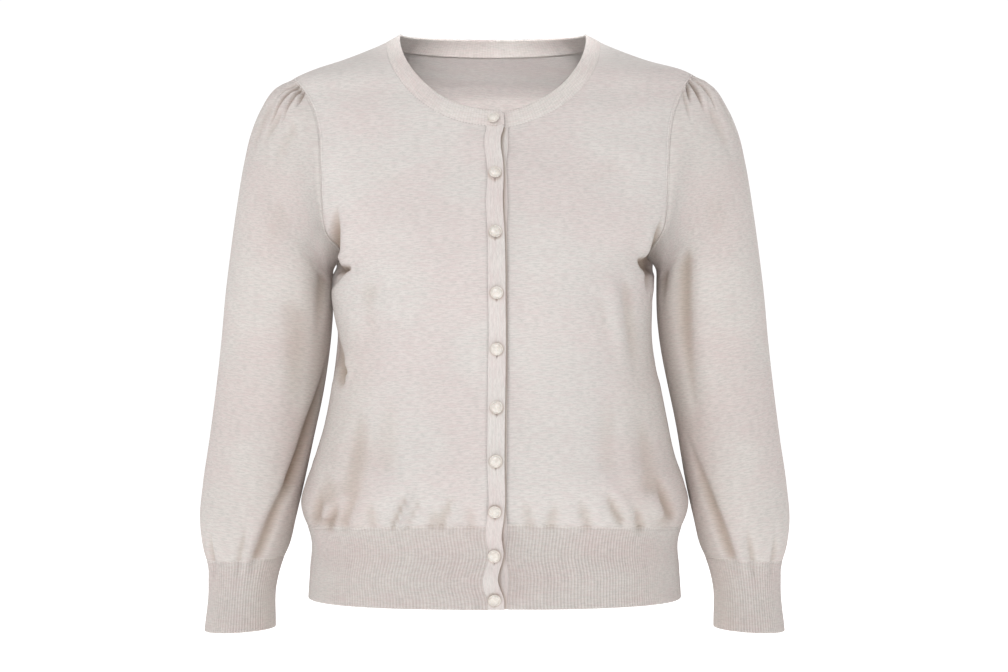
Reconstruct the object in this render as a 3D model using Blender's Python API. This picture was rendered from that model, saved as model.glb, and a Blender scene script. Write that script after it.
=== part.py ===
"""A woman's fine-knit button cardigan, filled out as it is when worn, with nobody in it.

Metres in Blender, +Z up. The wearer faces -Y, so the wearer's left is +X. The origin is the middle
of the shoulders, where the wearer holds the garment up. Tables and sizes below are in millimetres.

The trunk is one smooth form, cut into a back, two fronts, a ribbed hem, a neckband and two front
bands. Each sleeve is a tube from the armhole seam to its ribbed cuff. Every piece is a thin wall.
"""

import math
from collections import namedtuple

import bmesh
import bpy
import numpy as np

MM = 0.001

# Driving sizes.
JERSEY_THICK = 1.8
RIB_THICK = 2.2
SEAM_GAP = 0.5
LAP_RISE = 2.2
HEM_END = -576.0
HEM_RIB_TOP = -491.0
SIDE_DROOP = 10.0
CUFF_TOP_DOWN = 541.0

# Colours of the melange yarns and of the pearly buttons, as linear values.
OATMEAL = (0.70, 0.64, 0.59)
OATMEAL_RIB = (0.62, 0.55, 0.50)
PEARL = (0.80, 0.74, 0.67)

# The trunk's level sections, from the hem to the neck. Above the underarm a section's half width
# reaches past the armhole seam, and above the shoulder tip it ends on the shoulder ridge.
Section = namedtuple("Section", "height half_width front back squareness middle")
TRUNK = [
    Section(-576, 200.0, 139, 126, 2.4, 0),
    Section(-540, 198.0, 138, 125, 2.4, 0),
    Section(-502, 197.5, 138, 125, 2.4, 0),
    Section(-491, 201.0, 142, 130, 2.4, 0),
    Section(-480, 205.5, 147, 135, 2.4, 0),
    Section(-466, 208.0, 150, 137, 2.4, 0),
    Section(-445, 203.0, 151, 135, 2.4, 0),
    Section(-415, 191.0, 148, 129, 2.35, 0),
    Section(-380, 181.5, 143, 120, 2.3, 0),
    Section(-340, 174.0, 139, 112, 2.3, 0),
    Section(-300, 169.5, 138, 110, 2.3, 0),
    Section(-260, 169.5, 139, 112, 2.3, 0),
    Section(-232, 170.5, 138, 115, 2.3, 1),
    Section(-218, 171.5, 137, 117, 2.3, 1),
    Section(-200, 183.0, 134, 119, 2.35, 2),
    Section(-186, 191.0, 131, 121, 2.4, 2),
    Section(-150, 209.0, 121, 124, 2.4, 3),
    Section(-110, 221.0, 107, 124, 2.4, 4),
    Section(-80, 225.0, 96, 120, 2.3, 5),
    Section(-60, 225.5, 88, 115, 2.25, 5),
    Section(-40, 223.5, 78, 107, 2.2, 6),
    Section(-20, 217.0, 69, 97, 2.1, 6),
    Section(-10, 194.5, 63, 91, 2.1, 6),
    Section(0, 164.0, 56, 85, 2.05, 6),
    Section(11, 135.5, 48, 79, 2.0, 6),
    Section(19, 117.5, 41, 75, 2.0, 6),
    Section(29, 99.0, 34, 70, 2.0, 6),
    Section(33, 94.0, 31, 68, 2.0, 6),
]

# Where the armhole seam crosses each height, on the front and on the back.
Armhole = namedtuple("Armhole", "height front back")
ARMHOLE = [
    Armhole(-218, 171.5, 171.5),
    Armhole(-212, 172.5, 173.0),
    Armhole(-200, 175.5, 177.0),
    Armhole(-186, 178.5, 180.5),
    Armhole(-150, 181.0, 184.0),
    Armhole(-110, 182.5, 186.0),
    Armhole(-80, 185.0, 189.0),
    Armhole(-60, 190.0, 194.0),
    Armhole(-42, 199.0, 202.0),
    Armhole(-30, 208.0, 210.0),
    Armhole(-20, 217.0, 217.0),
]

# The sleeve's rings, from the armhole seam to the end of the cuff. Each is a slanting oval between
# its outer and its inner edge, so the first rings fan round the underarm like a bent tube.
Ring = namedtuple("Ring", "outer_x outer_z inner_x inner_z front back middle")
SLEEVE = [
    Ring(217.0, -20, 171.5, -218, 66, 68, 6),
    Ring(238.5, -33, 173.5, -222, 65, 68, 5),
    Ring(253.5, -55, 174.5, -227, 64, 67, 5),
    Ring(263.5, -80, 175.0, -232, 63, 66, 5),
    Ring(270.5, -110, 175.0, -237, 62, 65, 5),
    Ring(279.0, -160, 175.0, -245, 61, 63, 6),
    Ring(286.0, -210, 175.0, -257, 60, 61, 7),
    Ring(291.0, -250, 175.5, -276, 59, 60, 8),
    Ring(296.0, -305, 179.0, -315, 58, 58, 8),
    Ring(302.0, -360, 186.0, -362, 57, 56, 6),
    Ring(308.0, -410, 195.5, -408, 55, 54, 1),
    Ring(314.0, -456, 204.5, -452, 53, 52, -5),
    Ring(316.5, -500, 213.8, -494, 50, 50, -12),
    Ring(313.0, -526, 220.0, -521, 45, 45, -16),
    Ring(307.0, -545, 228.0, -540, 39, 39, -19),
    Ring(305.5, -566, 233.5, -562, 36.5, 36.5, -22),
    Ring(309.0, -611, 234.0, -607, 38, 37, -28),
]

# The neck edge of the panels, which carries the neckband, and the neckband's free edge.
NeckEdge = namedtuple("NeckEdge", "half_width side_height front_drop back_drop roundness")
NECK_SEAM = NeckEdge(114.5, 20.55, 100.5, 5.0, 1.9)
NECK_FREE = NeckEdge(101.5, 27.6, 91.6, -3.4, 1.85)

# The front bands, as distances from the centre front. The buttonhole band, on the wearer's right,
# lies over the button band.
BUTTONHOLE_BAND = (-8.0, 10.0)
BUTTON_BAND = (-4.0, 13.5)
BUTTON_X = 1.0
BUTTON_HEIGHTS = (-73, -130, -192, -254, -311, -371, -425, -475, -522, -566)
SLOT_HALF_LENGTH = 5.0
SLOT_HALF_WIDTH = 1.6

# The largest creases of the trunk, as straight soft troughs seen from the front, and of the
# sleeves, by the angle round the ring (0 outside, 90 front, 180 inside) and the way down it.
Trough = namedtuple("Trough", "x1 z1 x2 z2 width depth")
TRUNK_TROUGHS = [
    Trough(-126, -330, -150, -465, 15, 4),
    Trough(-86, -440, -104, -490, 7, 3),
    Trough(146, -270, 178, -455, 13, 5),
    Trough(118, -400, 132, -480, 11, 3),
]
SleeveTrough = namedtuple("SleeveTrough", "angle1 down1 angle2 down2 width depth")
RIGHT_SLEEVE_TROUGHS = [
    SleeveTrough(176, 320, 149, 450, 11, 6),
    SleeveTrough(147, 455, 116, 528, 10, 5),
    SleeveTrough(-150, 360, -128, 500, 12, 5),
]
LEFT_SLEEVE_TROUGHS = [
    SleeveTrough(124, 235, 142, 410, 14, 5),
    SleeveTrough(145, 420, 118, 525, 11, 5),
    SleeveTrough(-148, 340, -126, 490, 12, 5),
]
# The tucks gathered into the sleeve head, alike in front of the shoulder and behind it.
Tuck = namedtuple("Tuck", "angle length depth")
TUCKS = [Tuck(12, 62, 3.4), Tuck(27, 74, 4.0), Tuck(42, 48, 2.8)]
TUCK_HALF_WIDTH = 7.5


def smooth_curve(places, values):
    """The smooth curve through pairs of rising places and values, as a function of place."""
    place, value = np.asarray(places, float), np.asarray(values, float)
    step = np.diff(place)
    rise = np.diff(value) / step
    slope = np.empty_like(value)
    slope[1:-1] = (rise[:-1] * step[1:] + rise[1:] * step[:-1]) / (step[1:] + step[:-1])
    slope[0], slope[-1] = rise[0], rise[-1]

    def curve(at):
        at = np.clip(at, place[0], place[-1])
        i = np.clip(np.searchsorted(place, at, side="right") - 1, 0, len(step) - 1)
        t = (at - place[i]) / step[i]
        start = (1 + 2 * t) * (1 - t) ** 2 * value[i] + t * (1 - t) ** 2 * step[i] * slope[i]
        end = t * t * (3 - 2 * t) * value[i + 1] - t * t * (1 - t) * step[i] * slope[i + 1]
        return start + end

    return curve


def columns_of(rows, key):
    """One smooth curve for each named column of a table, along the column named key."""
    places = [getattr(row, key) for row in rows]
    return {
        name: smooth_curve(places, [getattr(row, name) for row in rows])
        for name in rows[0]._fields
        if name != key
    }


TRUNK_AT = columns_of(TRUNK, "height")
ARMHOLE_AT = columns_of(ARMHOLE, "height")


def ease(t):
    """0 below 0, 1 above 1, and a soft step between them."""
    t = np.clip(t, 0.0, 1.0)
    return t * t * (3 - 2 * t)


def unit(vectors):
    return vectors / np.linalg.norm(vectors, axis=-1, keepdims=True)


# ---- The trunk's form -------------------------------------------------------------------------


def trunk_point(angle, height):
    """A point of the trunk. Angle 0 is the centre front, 90 the wearer's left, 180 the back."""
    a = np.radians(angle)
    power = TRUNK_AT["squareness"](height)
    sine, cosine = np.sin(a), np.cos(a)
    reach = (np.abs(sine) ** power + np.abs(cosine) ** power) ** (-1 / power)
    depth = np.where(cosine > 0, TRUNK_AT["front"](height), TRUNK_AT["back"](height))
    x = TRUNK_AT["half_width"](height) * sine * reach
    y = TRUNK_AT["middle"](height) - depth * cosine * reach
    droop = SIDE_DROOP * (ease((-300 - height) / 160) - 0.9 * ease((-505 - height) / 71))
    z = height - droop * sine**2
    return np.stack([x, y, np.broadcast_to(z, x.shape)], axis=-1)


def angle_at(across, height):
    """The front angle, 0 to 90, at which the trunk is that far from the centre plane."""
    share = np.clip(across / TRUNK_AT["half_width"](height), 1e-6, 1.0)
    power = TRUNK_AT["squareness"](height)
    return np.degrees(np.arctan2(1.0, np.maximum(share**-power - 1, 0.0) ** (1 / power)))


def trunk_normal(angle, height):
    """The outward direction at a point of the trunk."""
    turn, rise = 0.4, 0.6
    across = trunk_point(angle + turn, height) - trunk_point(angle - turn, height)
    up = trunk_point(angle, height + rise) - trunk_point(angle, height - rise)
    return unit(np.cross(across, up))


def trough_depth(x, z, troughs):
    """How far the soft troughs sink the cloth at a point seen from the front."""
    sunk = np.zeros(np.broadcast(x, z).shape)
    for t in troughs:
        along = np.array([t.x2 - t.x1, t.z2 - t.z1], float)
        share = ((x - t.x1) * along[0] + (z - t.z1) * along[1]) / (along @ along)
        held = np.clip(share, 0, 1)
        away = np.hypot(x - t.x1 - held * along[0], z - t.z1 - held * along[1])
        sunk += t.depth * np.exp(-((away / t.width) ** 2)) * ease(1.4 - abs(share - 0.5) * 1.6)
    return sunk


def lap(x, side):
    """How far the cloth rises at the centre front, where the right front lies over the left.

    side is -1 on the right front, 1 on the left and 0 on the back.
    """
    over = LAP_RISE * ease((x + 45) / 34)
    under = -LAP_RISE * ease((45 - x) / 28)
    return np.where(np.less(side, 0), over, np.where(np.greater(side, 0), under, 0.0))


def trunk_skin(angle, height, side=0):
    """Outer points of the trunk with its creases, and their outward directions."""
    point, normal = trunk_point(angle, height), trunk_normal(angle, height)
    lift = lap(point[..., 0], side) - trough_depth(point[..., 0], point[..., 2], TRUNK_TROUGHS)
    return point + normal * lift[..., None], normal


def neck_edge(edge, turn, shrink=0.0):
    """(distance from the centre plane, height) of a neck edge, turn 0 front, 90 side, 180 back."""
    a = np.radians(turn)
    power = edge.roundness
    sine, cosine = np.sin(a), np.cos(a)
    reach = (np.abs(sine) ** power + np.abs(cosine) ** power) ** (-1 / power)
    drop = np.where(cosine > 0, edge.front_drop + shrink, edge.back_drop + shrink)
    reach = np.where(cosine > 0, reach, 1.0)
    height = edge.side_height - drop * np.abs(cosine) * reach - 0.45 * shrink * sine**2
    return (edge.half_width + shrink) * sine * reach, height


def neck_angle(edge, turn, shrink=0.0):
    """(trunk angle, height) of a neck edge for turns from 0, the front, to 360."""
    x, height = neck_edge(edge, turn, shrink)
    front = angle_at(np.abs(x), height)
    angle = np.where(np.cos(np.radians(turn)) > 0, front, 180 - front)
    return np.sign(x + 1e-9) * angle, height


# ---- Armhole and sleeve -----------------------------------------------------------------------

TIP, UNDERARM = ARMHOLE[-1].height, ARMHOLE[0].height
ARMHOLE_AXIS = unit(np.array([TIP - UNDERARM, 0.0, SLEEVE[0].inner_x - SLEEVE[0].outer_x]))
SEAM_FADES_BY = 120.0


def armhole_place(turn):
    """(trunk angle, height) of the armhole seam: turn 0 at the shoulder tip, 90 front, 180 below."""
    height = (TIP + UNDERARM) / 2 + (TIP - UNDERARM) / 2 * np.cos(np.radians(turn))
    front = angle_at(ARMHOLE_AT["front"](height), height)
    back = 180 - angle_at(ARMHOLE_AT["back"](height), height)
    return np.where(np.sin(np.radians(turn)) >= 0, front, back), height


def ways_down(rings):
    """The distance of each ring down the sleeve, along its outer edge."""
    steps = [math.hypot(b.outer_x - a.outer_x, b.outer_z - a.outer_z) for a, b in zip(rings, rings[1:])]
    return np.concatenate([[0.0], np.cumsum(steps)])


SLEEVE_DOWN = ways_down(SLEEVE)
SLEEVE_AT = {name: smooth_curve(SLEEVE_DOWN, [getattr(r, name) for r in SLEEVE]) for name in Ring._fields}


def plain_ring(turn, down):
    """A point of the sleeve's ring, before the first rings are fitted to the armhole seam."""
    a = np.radians(turn)
    out, forward = (1 + np.cos(a)) / 2, np.sin(a)
    x = SLEEVE_AT["inner_x"](down) * (1 - out) + SLEEVE_AT["outer_x"](down) * out
    z = SLEEVE_AT["inner_z"](down) * (1 - out) + SLEEVE_AT["outer_z"](down) * out
    depth = np.where(forward > 0, SLEEVE_AT["front"](down), SLEEVE_AT["back"](down))
    return np.stack([x, SLEEVE_AT["middle"](down) - depth * forward, z], axis=-1)


def sleeve_point(turn, down):
    """A point of the left sleeve: turn 0 outside, 90 front, 180 inside; down from the shoulder tip."""
    turn, down = np.broadcast_arrays(np.asarray(turn, float), np.asarray(down, float))
    angle, height = armhole_place(turn)
    off_seam = trunk_point(angle, height) - plain_ring(turn, np.zeros_like(down))
    return plain_ring(turn, down) + off_seam * (1 - ease(down / SEAM_FADES_BY))[..., None]


def sleeve_normal(turn, down):
    """The outward direction at a point of the left sleeve."""
    round_it = sleeve_point(turn + 0.6, down) - sleeve_point(turn - 0.6, down)
    along = sleeve_point(turn, down + 0.8) - sleeve_point(turn, np.maximum(down - 0.8, 0))
    return unit(np.cross(round_it, along))


def tuck_depth(turn, down):
    """How far the gathers of the sleeve head sink the cloth."""
    sunk = np.zeros(np.broadcast(turn, down).shape)
    for tuck in TUCKS:
        away = np.clip((abs(turn) - tuck.angle) / TUCK_HALF_WIDTH, -1, 1)
        across = 0.5 + 0.5 * np.cos(math.pi * away)
        sunk += tuck.depth * across * ease(0.3 + down / 20) * (1 - ease(down / tuck.length))
    return sunk


def sleeve_skin(turn, down, side):
    """Outer points of a sleeve with its creases, and their outward directions, on either side."""
    point, normal = sleeve_point(turn, down), sleeve_normal(turn, down)
    creases = LEFT_SLEEVE_TROUGHS if side > 0 else RIGHT_SLEEVE_TROUGHS
    troughs = [Trough(c.angle1, -c.down1, c.angle2, -c.down2, c.width, c.depth) for c in creases]
    sunk = trough_depth(turn, -down, troughs) + tuck_depth(turn, down)
    flip = np.array([side, 1.0, 1.0])
    return (point - normal * sunk[..., None]) * flip, normal * flip


# ---- Walls ------------------------------------------------------------------------------------


def joined(points, faces):
    """The faces and the points that they use, with points in one place made one."""
    places = {}
    kept = []
    for face in faces:
        numbers = [places.setdefault(tuple(points[c].round(7)), len(places)) for c in face]
        numbers = [n for i, n in enumerate(numbers) if n != numbers[i - 1]]
        if len(numbers) > 2:
            kept.append(numbers)
    return list(places), kept


def signed_volume(points, faces):
    fans = [(f[0], f[i], f[i + 1]) for f in faces for i in range(1, len(f) - 1)]
    return np.linalg.det(np.array(points)[np.array(fans)]).sum()


def wall(name, outer, inner, material, ring=False, holes=()):
    """Makes a closed thin wall from a grid of outer points and the matching inner points.

    ring joins the last column to the first. holes are the (row, column) cells left open.
    """
    rows, columns = outer.shape[:2]
    cells_across = columns if ring else columns - 1
    cells = {(i, j) for i in range(rows - 1) for j in range(cells_across)} - set(holes)
    count = rows * columns

    def at(i, j):
        return i * columns + j % columns

    def beside(i, j):
        return (i, j % cells_across) if ring else (i, j)

    faces = []
    for i, j in sorted(cells):
        a, b, c, d = at(i, j), at(i, j + 1), at(i + 1, j + 1), at(i + 1, j)
        faces.append((a, b, c, d))
        faces.append((a + count, d + count, c + count, b + count))
        edges = (
            (beside(i - 1, j), b, a),
            (beside(i + 1, j), d, c),
            (beside(i, j - 1), a, d),
            (beside(i, j + 1), c, b),
        )
        faces += [(s, e, e + count, s + count) for cell, s, e in edges if cell not in cells]
    points = np.concatenate([outer.reshape(-1, 3), inner.reshape(-1, 3)]) * MM
    points, faces = joined(points, faces)
    if signed_volume(points, faces) < 0:
        faces = [face[::-1] for face in faces]
    mesh = bpy.data.meshes.new(name)
    mesh.from_pydata(points, [], faces)
    mesh.materials.append(material)
    mesh.shade_smooth()
    mesh.set_sharp_from_angle(angle=math.radians(50))
    part = bpy.data.objects.new(name, mesh)
    bpy.context.scene.collection.objects.link(part)
    return part


def trunk_wall(name, angle, height, side, thick, material, holes=()):
    """A wall on the trunk's form, from grids of angles and heights, wearer's left to right."""
    outer, normal = trunk_skin(angle, height, side)
    return wall(name, outer, outer - normal * thick, material, holes=holes)


def principled(name, colour, roughness):
    material = bpy.data.materials.new(name)
    material.use_nodes = True
    shader = material.node_tree.nodes["Principled BSDF"]
    shader.inputs["Base Color"].default_value = (*colour, 1.0)
    shader.inputs["Roughness"].default_value = roughness
    shader.inputs["Metallic"].default_value = 0.0
    return material


# ---- Panels -----------------------------------------------------------------------------------

HALF_GAP = SEAM_GAP / 2
SEAM_TURN = 0.2
LOW_ROWS, FLAT_ROWS = 9, 4
# Turns round the neck and round the armhole at which neighbouring pieces all have a point.
FRONT_NECK_TURNS = (20, 32, 44, 56, 68, 79, 90)
BACK_NECK_TURNS = (180, 167, 154, 141, 128, 115, 102, 90)
ARMHOLE_TURNS = np.array([180, 165, 150, 134, 116, 98, 80, 64, 50, 34.5, 19.5, 0])


def panel_grid(inner_angle, inner_height, back, columns):
    """(angles, heights) between a panel's inner edge and its side seam and armhole.

    The rows below the underarm are level. Those above it run from the inner edge to the armhole.
    """
    angle, height = armhole_place(-ARMHOLE_TURNS if back else ARMHOLE_TURNS)
    outer_angle = np.full(len(inner_height), 90 - SEAM_TURN)
    outer_height = inner_height.copy()
    outer_angle[LOW_ROWS:] = np.minimum(180 - angle if back else angle, 90 - SEAM_TURN)
    outer_height[LOW_ROWS:] = height
    share = np.linspace(0, 1, columns)
    angles = inner_angle[:, None] + (outer_angle - inner_angle)[:, None] * share
    return angles, inner_height[:, None] + (outer_height - inner_height)[:, None] * share


def inner_heights(neck_bottom):
    """Row heights of a panel's inner edge, from the hem rib to the bottom of its neck edge."""
    low = np.linspace(HEM_RIB_TOP + HALF_GAP, UNDERARM, LOW_ROWS, endpoint=False)
    return np.concatenate([low, np.linspace(UNDERARM, neck_bottom, FLAT_ROWS, endpoint=False)])


def front_panel(name, side, band_edge, material):
    """One front: from the front band's seam to the side seam, armhole and shoulder seam."""
    across = band_edge + HALF_GAP
    first_turn = math.degrees(math.asin(across / NECK_SEAM.half_width))
    neck = neck_angle(NECK_SEAM, np.array([first_turn, *FRONT_NECK_TURNS]), HALF_GAP)
    heights = inner_heights(neck[1][0])
    inner_angle = np.concatenate([angle_at(across, heights), neck[0]])
    inner_angle[-1] = 90 - SEAM_TURN
    inner_height = np.concatenate([heights, neck[1]])
    angles, heights = panel_grid(inner_angle, inner_height, False, 9)
    return trunk_wall(name, angles * side, heights, side, JERSEY_THICK, material)


def back_panel(name, material):
    """The back, in one piece from side seam to side seam."""
    neck = neck_angle(NECK_SEAM, np.array(BACK_NECK_TURNS, float), HALF_GAP)
    heights = inner_heights(neck[1][0])
    inner_angle = np.concatenate([heights * 0, 180 - neck[0]])
    inner_angle[-1] = 90 - SEAM_TURN
    inner_height = np.concatenate([heights, neck[1]])
    angles, heights = panel_grid(inner_angle, inner_height, True, 10)
    both = np.concatenate([180 - angles[:, ::-1], 180 + angles], axis=1)
    level = np.concatenate([heights[:, ::-1], heights], axis=1)
    neck_opening = [(i, 9) for i in range(LOW_ROWS + FLAT_ROWS, len(both) - 1)]
    return trunk_wall(name, both, level, 0, JERSEY_THICK, material, neck_opening)


def hem_rib(name, start, end, side, columns, material):
    """A stretch of the hem rib, between two trunk angles given as functions of the height."""
    height = np.linspace(HEM_END, HEM_RIB_TOP - HALF_GAP, 4)[:, None]
    share = np.linspace(0, 1, columns)
    angle = start(height) + (end(height) - start(height)) * share
    return trunk_wall(name, angle, np.repeat(height, columns, axis=1), side, RIB_THICK, material)


def front_band(name, edges, side, slots, material):
    """A rib strip down the centre front, with an upright slot in it for each buttonhole."""
    middle = BUTTON_X
    across = [edges[0], (edges[0] + middle) / 2 - 1, middle - SLOT_HALF_WIDTH]
    across += [middle + SLOT_HALF_WIDTH, (edges[1] + middle) / 2 + 1, edges[1]]
    turn = np.degrees(np.arcsin(np.array(across) / NECK_SEAM.half_width))
    top = neck_edge(NECK_SEAM, turn, HALF_GAP * 2)[1]
    marks = sorted([h + way * SLOT_HALF_LENGTH for h in BUTTON_HEIGHTS[1:] for way in (-1, 1)])
    rows = [HEM_END, *marks]
    heights = np.repeat(np.array(rows)[:, None], len(across), axis=1)
    heights = np.concatenate([heights, top[None, :]])
    angle = np.sign(across) * angle_at(np.abs(across), heights)
    holes = [(i, 2) for i in range(1, len(rows), 2)] if slots else []
    return trunk_wall(name, angle, heights, side, RIB_THICK, material, holes)


def neckband(name, material):
    """The neck rib, from its left end, under at the centre front, round the neck to its right end."""
    def turn_at(x):
        return math.degrees(math.asin(x / NECK_SEAM.half_width))

    under = [turn_at(BUTTON_BAND[0]), turn_at(BUTTON_BAND[1] + HALF_GAP)]
    slot = [turn_at(BUTTON_X - SLOT_HALF_WIDTH), turn_at(BUTTON_X + SLOT_HALF_WIDTH)]
    over = [turn_at(BUTTONHOLE_BAND[0] - HALF_GAP), *slot, turn_at(BUTTONHOLE_BAND[1])]
    left = [*FRONT_NECK_TURNS, *BACK_NECK_TURNS[-2::-1]]
    right = [360 - turn for turn in left[-2::-1]]
    turns = np.array([*under, *left, *right, *(360 + turn for turn in over)])
    width = np.array([0.0, 0.14, 0.74, 1.0])[:, None]
    seam = neck_edge(NECK_SEAM, turns)
    free = neck_edge(NECK_FREE, turns)
    x, height = (seam[i] + (free[i] - seam[i]) * width for i in (0, 1))
    front = angle_at(np.abs(x), height)
    facing = np.cos(np.radians(turns)) > 0
    angle = np.where(x < 0, -1, 1) * np.where(facing, front, 180 - front)
    outer, normal = trunk_skin(angle, height, np.where(facing, np.where(turns < 180, 1, -1), 0))
    return wall(name, outer, outer - normal * RIB_THICK, material, holes=[(1, len(turns) - 3)])


# ---- Sleeves and cuffs ------------------------------------------------------------------------

HEAD_TURNS = (4, 12, 19.5, 27, 34.5, 42, 50, 64, 80, 98, 116, 134, 150, 165)
SLEEVE_TURNS = np.array([0, *HEAD_TURNS, 180, *(-turn for turn in HEAD_TURNS[::-1])], float)
SLEEVE_ROWS = (0, 12, 28, 48, 74, 108, 155, 205, 260, 315, 370, 425, 480, 512, 530)
CUFF_TURNS = np.linspace(0, 360, 22, endpoint=False)


def sleeve(name, side, material):
    """A sleeve of one piece, from the armhole seam to the cuff seam."""
    down = np.array([*SLEEVE_ROWS, CUFF_TOP_DOWN - HALF_GAP], float)[:, None]
    outer, normal = sleeve_skin(SLEEVE_TURNS[None, :], down, side)
    outer[0] += ARMHOLE_AXIS * np.array([side, 1, 1]) * 2 * SEAM_GAP
    return wall(name, outer, outer - normal * JERSEY_THICK, material, ring=True)


def cuff(name, side, material):
    """A rib tube below the sleeve."""
    down = np.linspace(CUFF_TOP_DOWN + HALF_GAP, SLEEVE_DOWN[-1], 4)[:, None]
    outer, normal = sleeve_skin(CUFF_TURNS[None, :], down, side)
    return wall(name, outer, outer - normal * RIB_THICK, material, ring=True)


# ---- Buttons ----------------------------------------------------------------------------------

# The button's outline from the middle of its face to the foot of its shank: distance from its
# axis, and height above the outer face of the buttonhole band.
ButtonRing = namedtuple("ButtonRing", "radius height")
BUTTON_RINGS = [
    ButtonRing(2.6, 3.9),
    ButtonRing(4.6, 3.4),
    ButtonRing(5.7, 2.5),
    ButtonRing(6.0, 1.7),
    ButtonRing(5.6, 0.9),
    ButtonRing(1.2, 0.7),
    ButtonRing(1.2, -3.9),
]
BUTTON_SIDES = 16


def button(name, height, material):
    """A low dome with a rounded rim, on a shank that passes through the buttonhole."""
    angle = angle_at(abs(BUTTON_X), np.array([height]))
    foot, out = trunk_skin(angle, np.array([height]), -1)
    out = out[0] * np.array([0.0, 1.0, 1.0])
    out = out / np.linalg.norm(out)
    right = np.array([1.0, 0.0, 0.0])
    up = np.cross(out, right)
    turn = np.radians(np.linspace(0, 360, BUTTON_SIDES, endpoint=False))
    points = [foot[0] + out * 4.1]
    for ring in BUTTON_RINGS:
        for t in turn:
            round_it = right * math.cos(t) + up * math.sin(t)
            points.append(foot[0] + ring.radius * round_it + out * ring.height)
    points.append(foot[0] + out * BUTTON_RINGS[-1].height)
    faces = []
    for j in range(BUTTON_SIDES):
        after = (j + 1) % BUTTON_SIDES
        faces.append((0, 1 + j, 1 + after))
        for i in range(len(BUTTON_RINGS) - 1):
            near, far = 1 + i * BUTTON_SIDES, 1 + (i + 1) * BUTTON_SIDES
            faces.append((near + j, far + j, far + after, near + after))
        last = 1 + (len(BUTTON_RINGS) - 1) * BUTTON_SIDES
        faces.append((last + after, last + j, len(points) - 1))
    mesh = bpy.data.meshes.new(name)
    mesh.from_pydata((np.array(points) * MM).tolist(), [], faces)
    build = bmesh.new()
    build.from_mesh(mesh)
    bmesh.ops.recalc_face_normals(build, faces=build.faces)
    build.to_mesh(mesh)
    build.free()
    mesh.materials.append(material)
    mesh.shade_smooth()
    mesh.set_sharp_from_angle(angle=math.radians(50))
    part = bpy.data.objects.new(name, mesh)
    bpy.context.scene.collection.objects.link(part)
    return part


# ---- The cardigan -----------------------------------------------------------------------------

for leftover in list(bpy.data.objects):
    bpy.data.objects.remove(leftover, do_unlink=True)

knit = principled("oatmeal_jersey", OATMEAL, 0.9)
rib = principled("oatmeal_rib", OATMEAL_RIB, 0.9)
pearl = principled("pearl_buttons", PEARL, 0.3)

RIGHT_EDGE, LEFT_EDGE = -BUTTONHOLE_BAND[0], BUTTON_BAND[1]
back_panel("back", knit)
front_panel("front_left", 1, LEFT_EDGE, knit)
front_panel("front_right", -1, RIGHT_EDGE, knit)
sleeve("sleeve_left", 1, knit)
sleeve("sleeve_right", -1, knit)
neckband("neckband", rib)
front_band("buttonhole_band", BUTTONHOLE_BAND, -1, True, rib)
front_band("button_band", BUTTON_BAND, 1, False, rib)


def side_seam(way):
    return lambda height: height * 0 + way


def band_seam(way, edge):
    return lambda height: way * angle_at(edge + HALF_GAP, height)


hem_rib("hem_rib_back", side_seam(90 + SEAM_TURN), side_seam(270 - SEAM_TURN), 0, 19, rib)
hem_rib("hem_rib_front_left", band_seam(1, LEFT_EDGE), side_seam(90 - SEAM_TURN), 1, 10, rib)
hem_rib("hem_rib_front_right", band_seam(-1, RIGHT_EDGE), side_seam(SEAM_TURN - 90), -1, 10, rib)
cuff("cuff_left", 1, rib)
cuff("cuff_right", -1, rib)
for number, button_height in enumerate(BUTTON_HEIGHTS, 1):
    button(f"button_{number:02d}", button_height, pearl)
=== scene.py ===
import math
from collections import namedtuple

import bmesh
import bpy
import numpy as np
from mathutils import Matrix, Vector


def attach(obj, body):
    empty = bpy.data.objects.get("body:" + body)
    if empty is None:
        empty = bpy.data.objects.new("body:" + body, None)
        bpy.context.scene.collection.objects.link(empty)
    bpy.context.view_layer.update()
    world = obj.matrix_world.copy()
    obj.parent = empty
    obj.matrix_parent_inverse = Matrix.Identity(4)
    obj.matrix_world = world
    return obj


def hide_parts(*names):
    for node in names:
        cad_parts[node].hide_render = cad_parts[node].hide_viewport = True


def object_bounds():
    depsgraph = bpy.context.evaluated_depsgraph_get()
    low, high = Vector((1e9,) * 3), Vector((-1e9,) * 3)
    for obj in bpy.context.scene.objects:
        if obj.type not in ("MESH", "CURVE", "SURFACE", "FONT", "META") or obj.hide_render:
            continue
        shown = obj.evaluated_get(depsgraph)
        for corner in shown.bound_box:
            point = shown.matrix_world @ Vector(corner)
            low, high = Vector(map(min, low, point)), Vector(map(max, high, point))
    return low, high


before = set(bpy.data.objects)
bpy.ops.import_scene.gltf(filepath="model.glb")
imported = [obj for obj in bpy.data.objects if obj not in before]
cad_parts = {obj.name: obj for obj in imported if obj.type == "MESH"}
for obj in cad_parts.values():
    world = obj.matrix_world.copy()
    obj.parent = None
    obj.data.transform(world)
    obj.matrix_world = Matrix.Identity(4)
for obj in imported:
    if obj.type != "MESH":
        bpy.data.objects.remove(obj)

cad_box = [list(corner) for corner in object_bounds()]


# ---- The trunk: one back and two fronts ---------------------------------------------------------
# Three panels of fine jersey in a melange of cream, grey and rose-beige yarns, knitted to shape.
# They are linked at the sides and shoulders, and here are filled out as on a wearer: full at the
# bust, in at the waist, and bloused over the hem rib, whose pull puckers the cloth above it.

MM = 0.001
JERSEY_THICK = 1.7
HEM_RIB_TOP = -491.0
UNDERARM = -218.0
# How far a panel stops short of a seam line at the hem and neck, and by a band or a cuff.
SEAM_GAP, EDGE_GAP = 0.3, 0.2
# How far a linked edge's half round stands out, as a share of the half thickness.
LINKED_LIPS = (0.3, 0.3)
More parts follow.
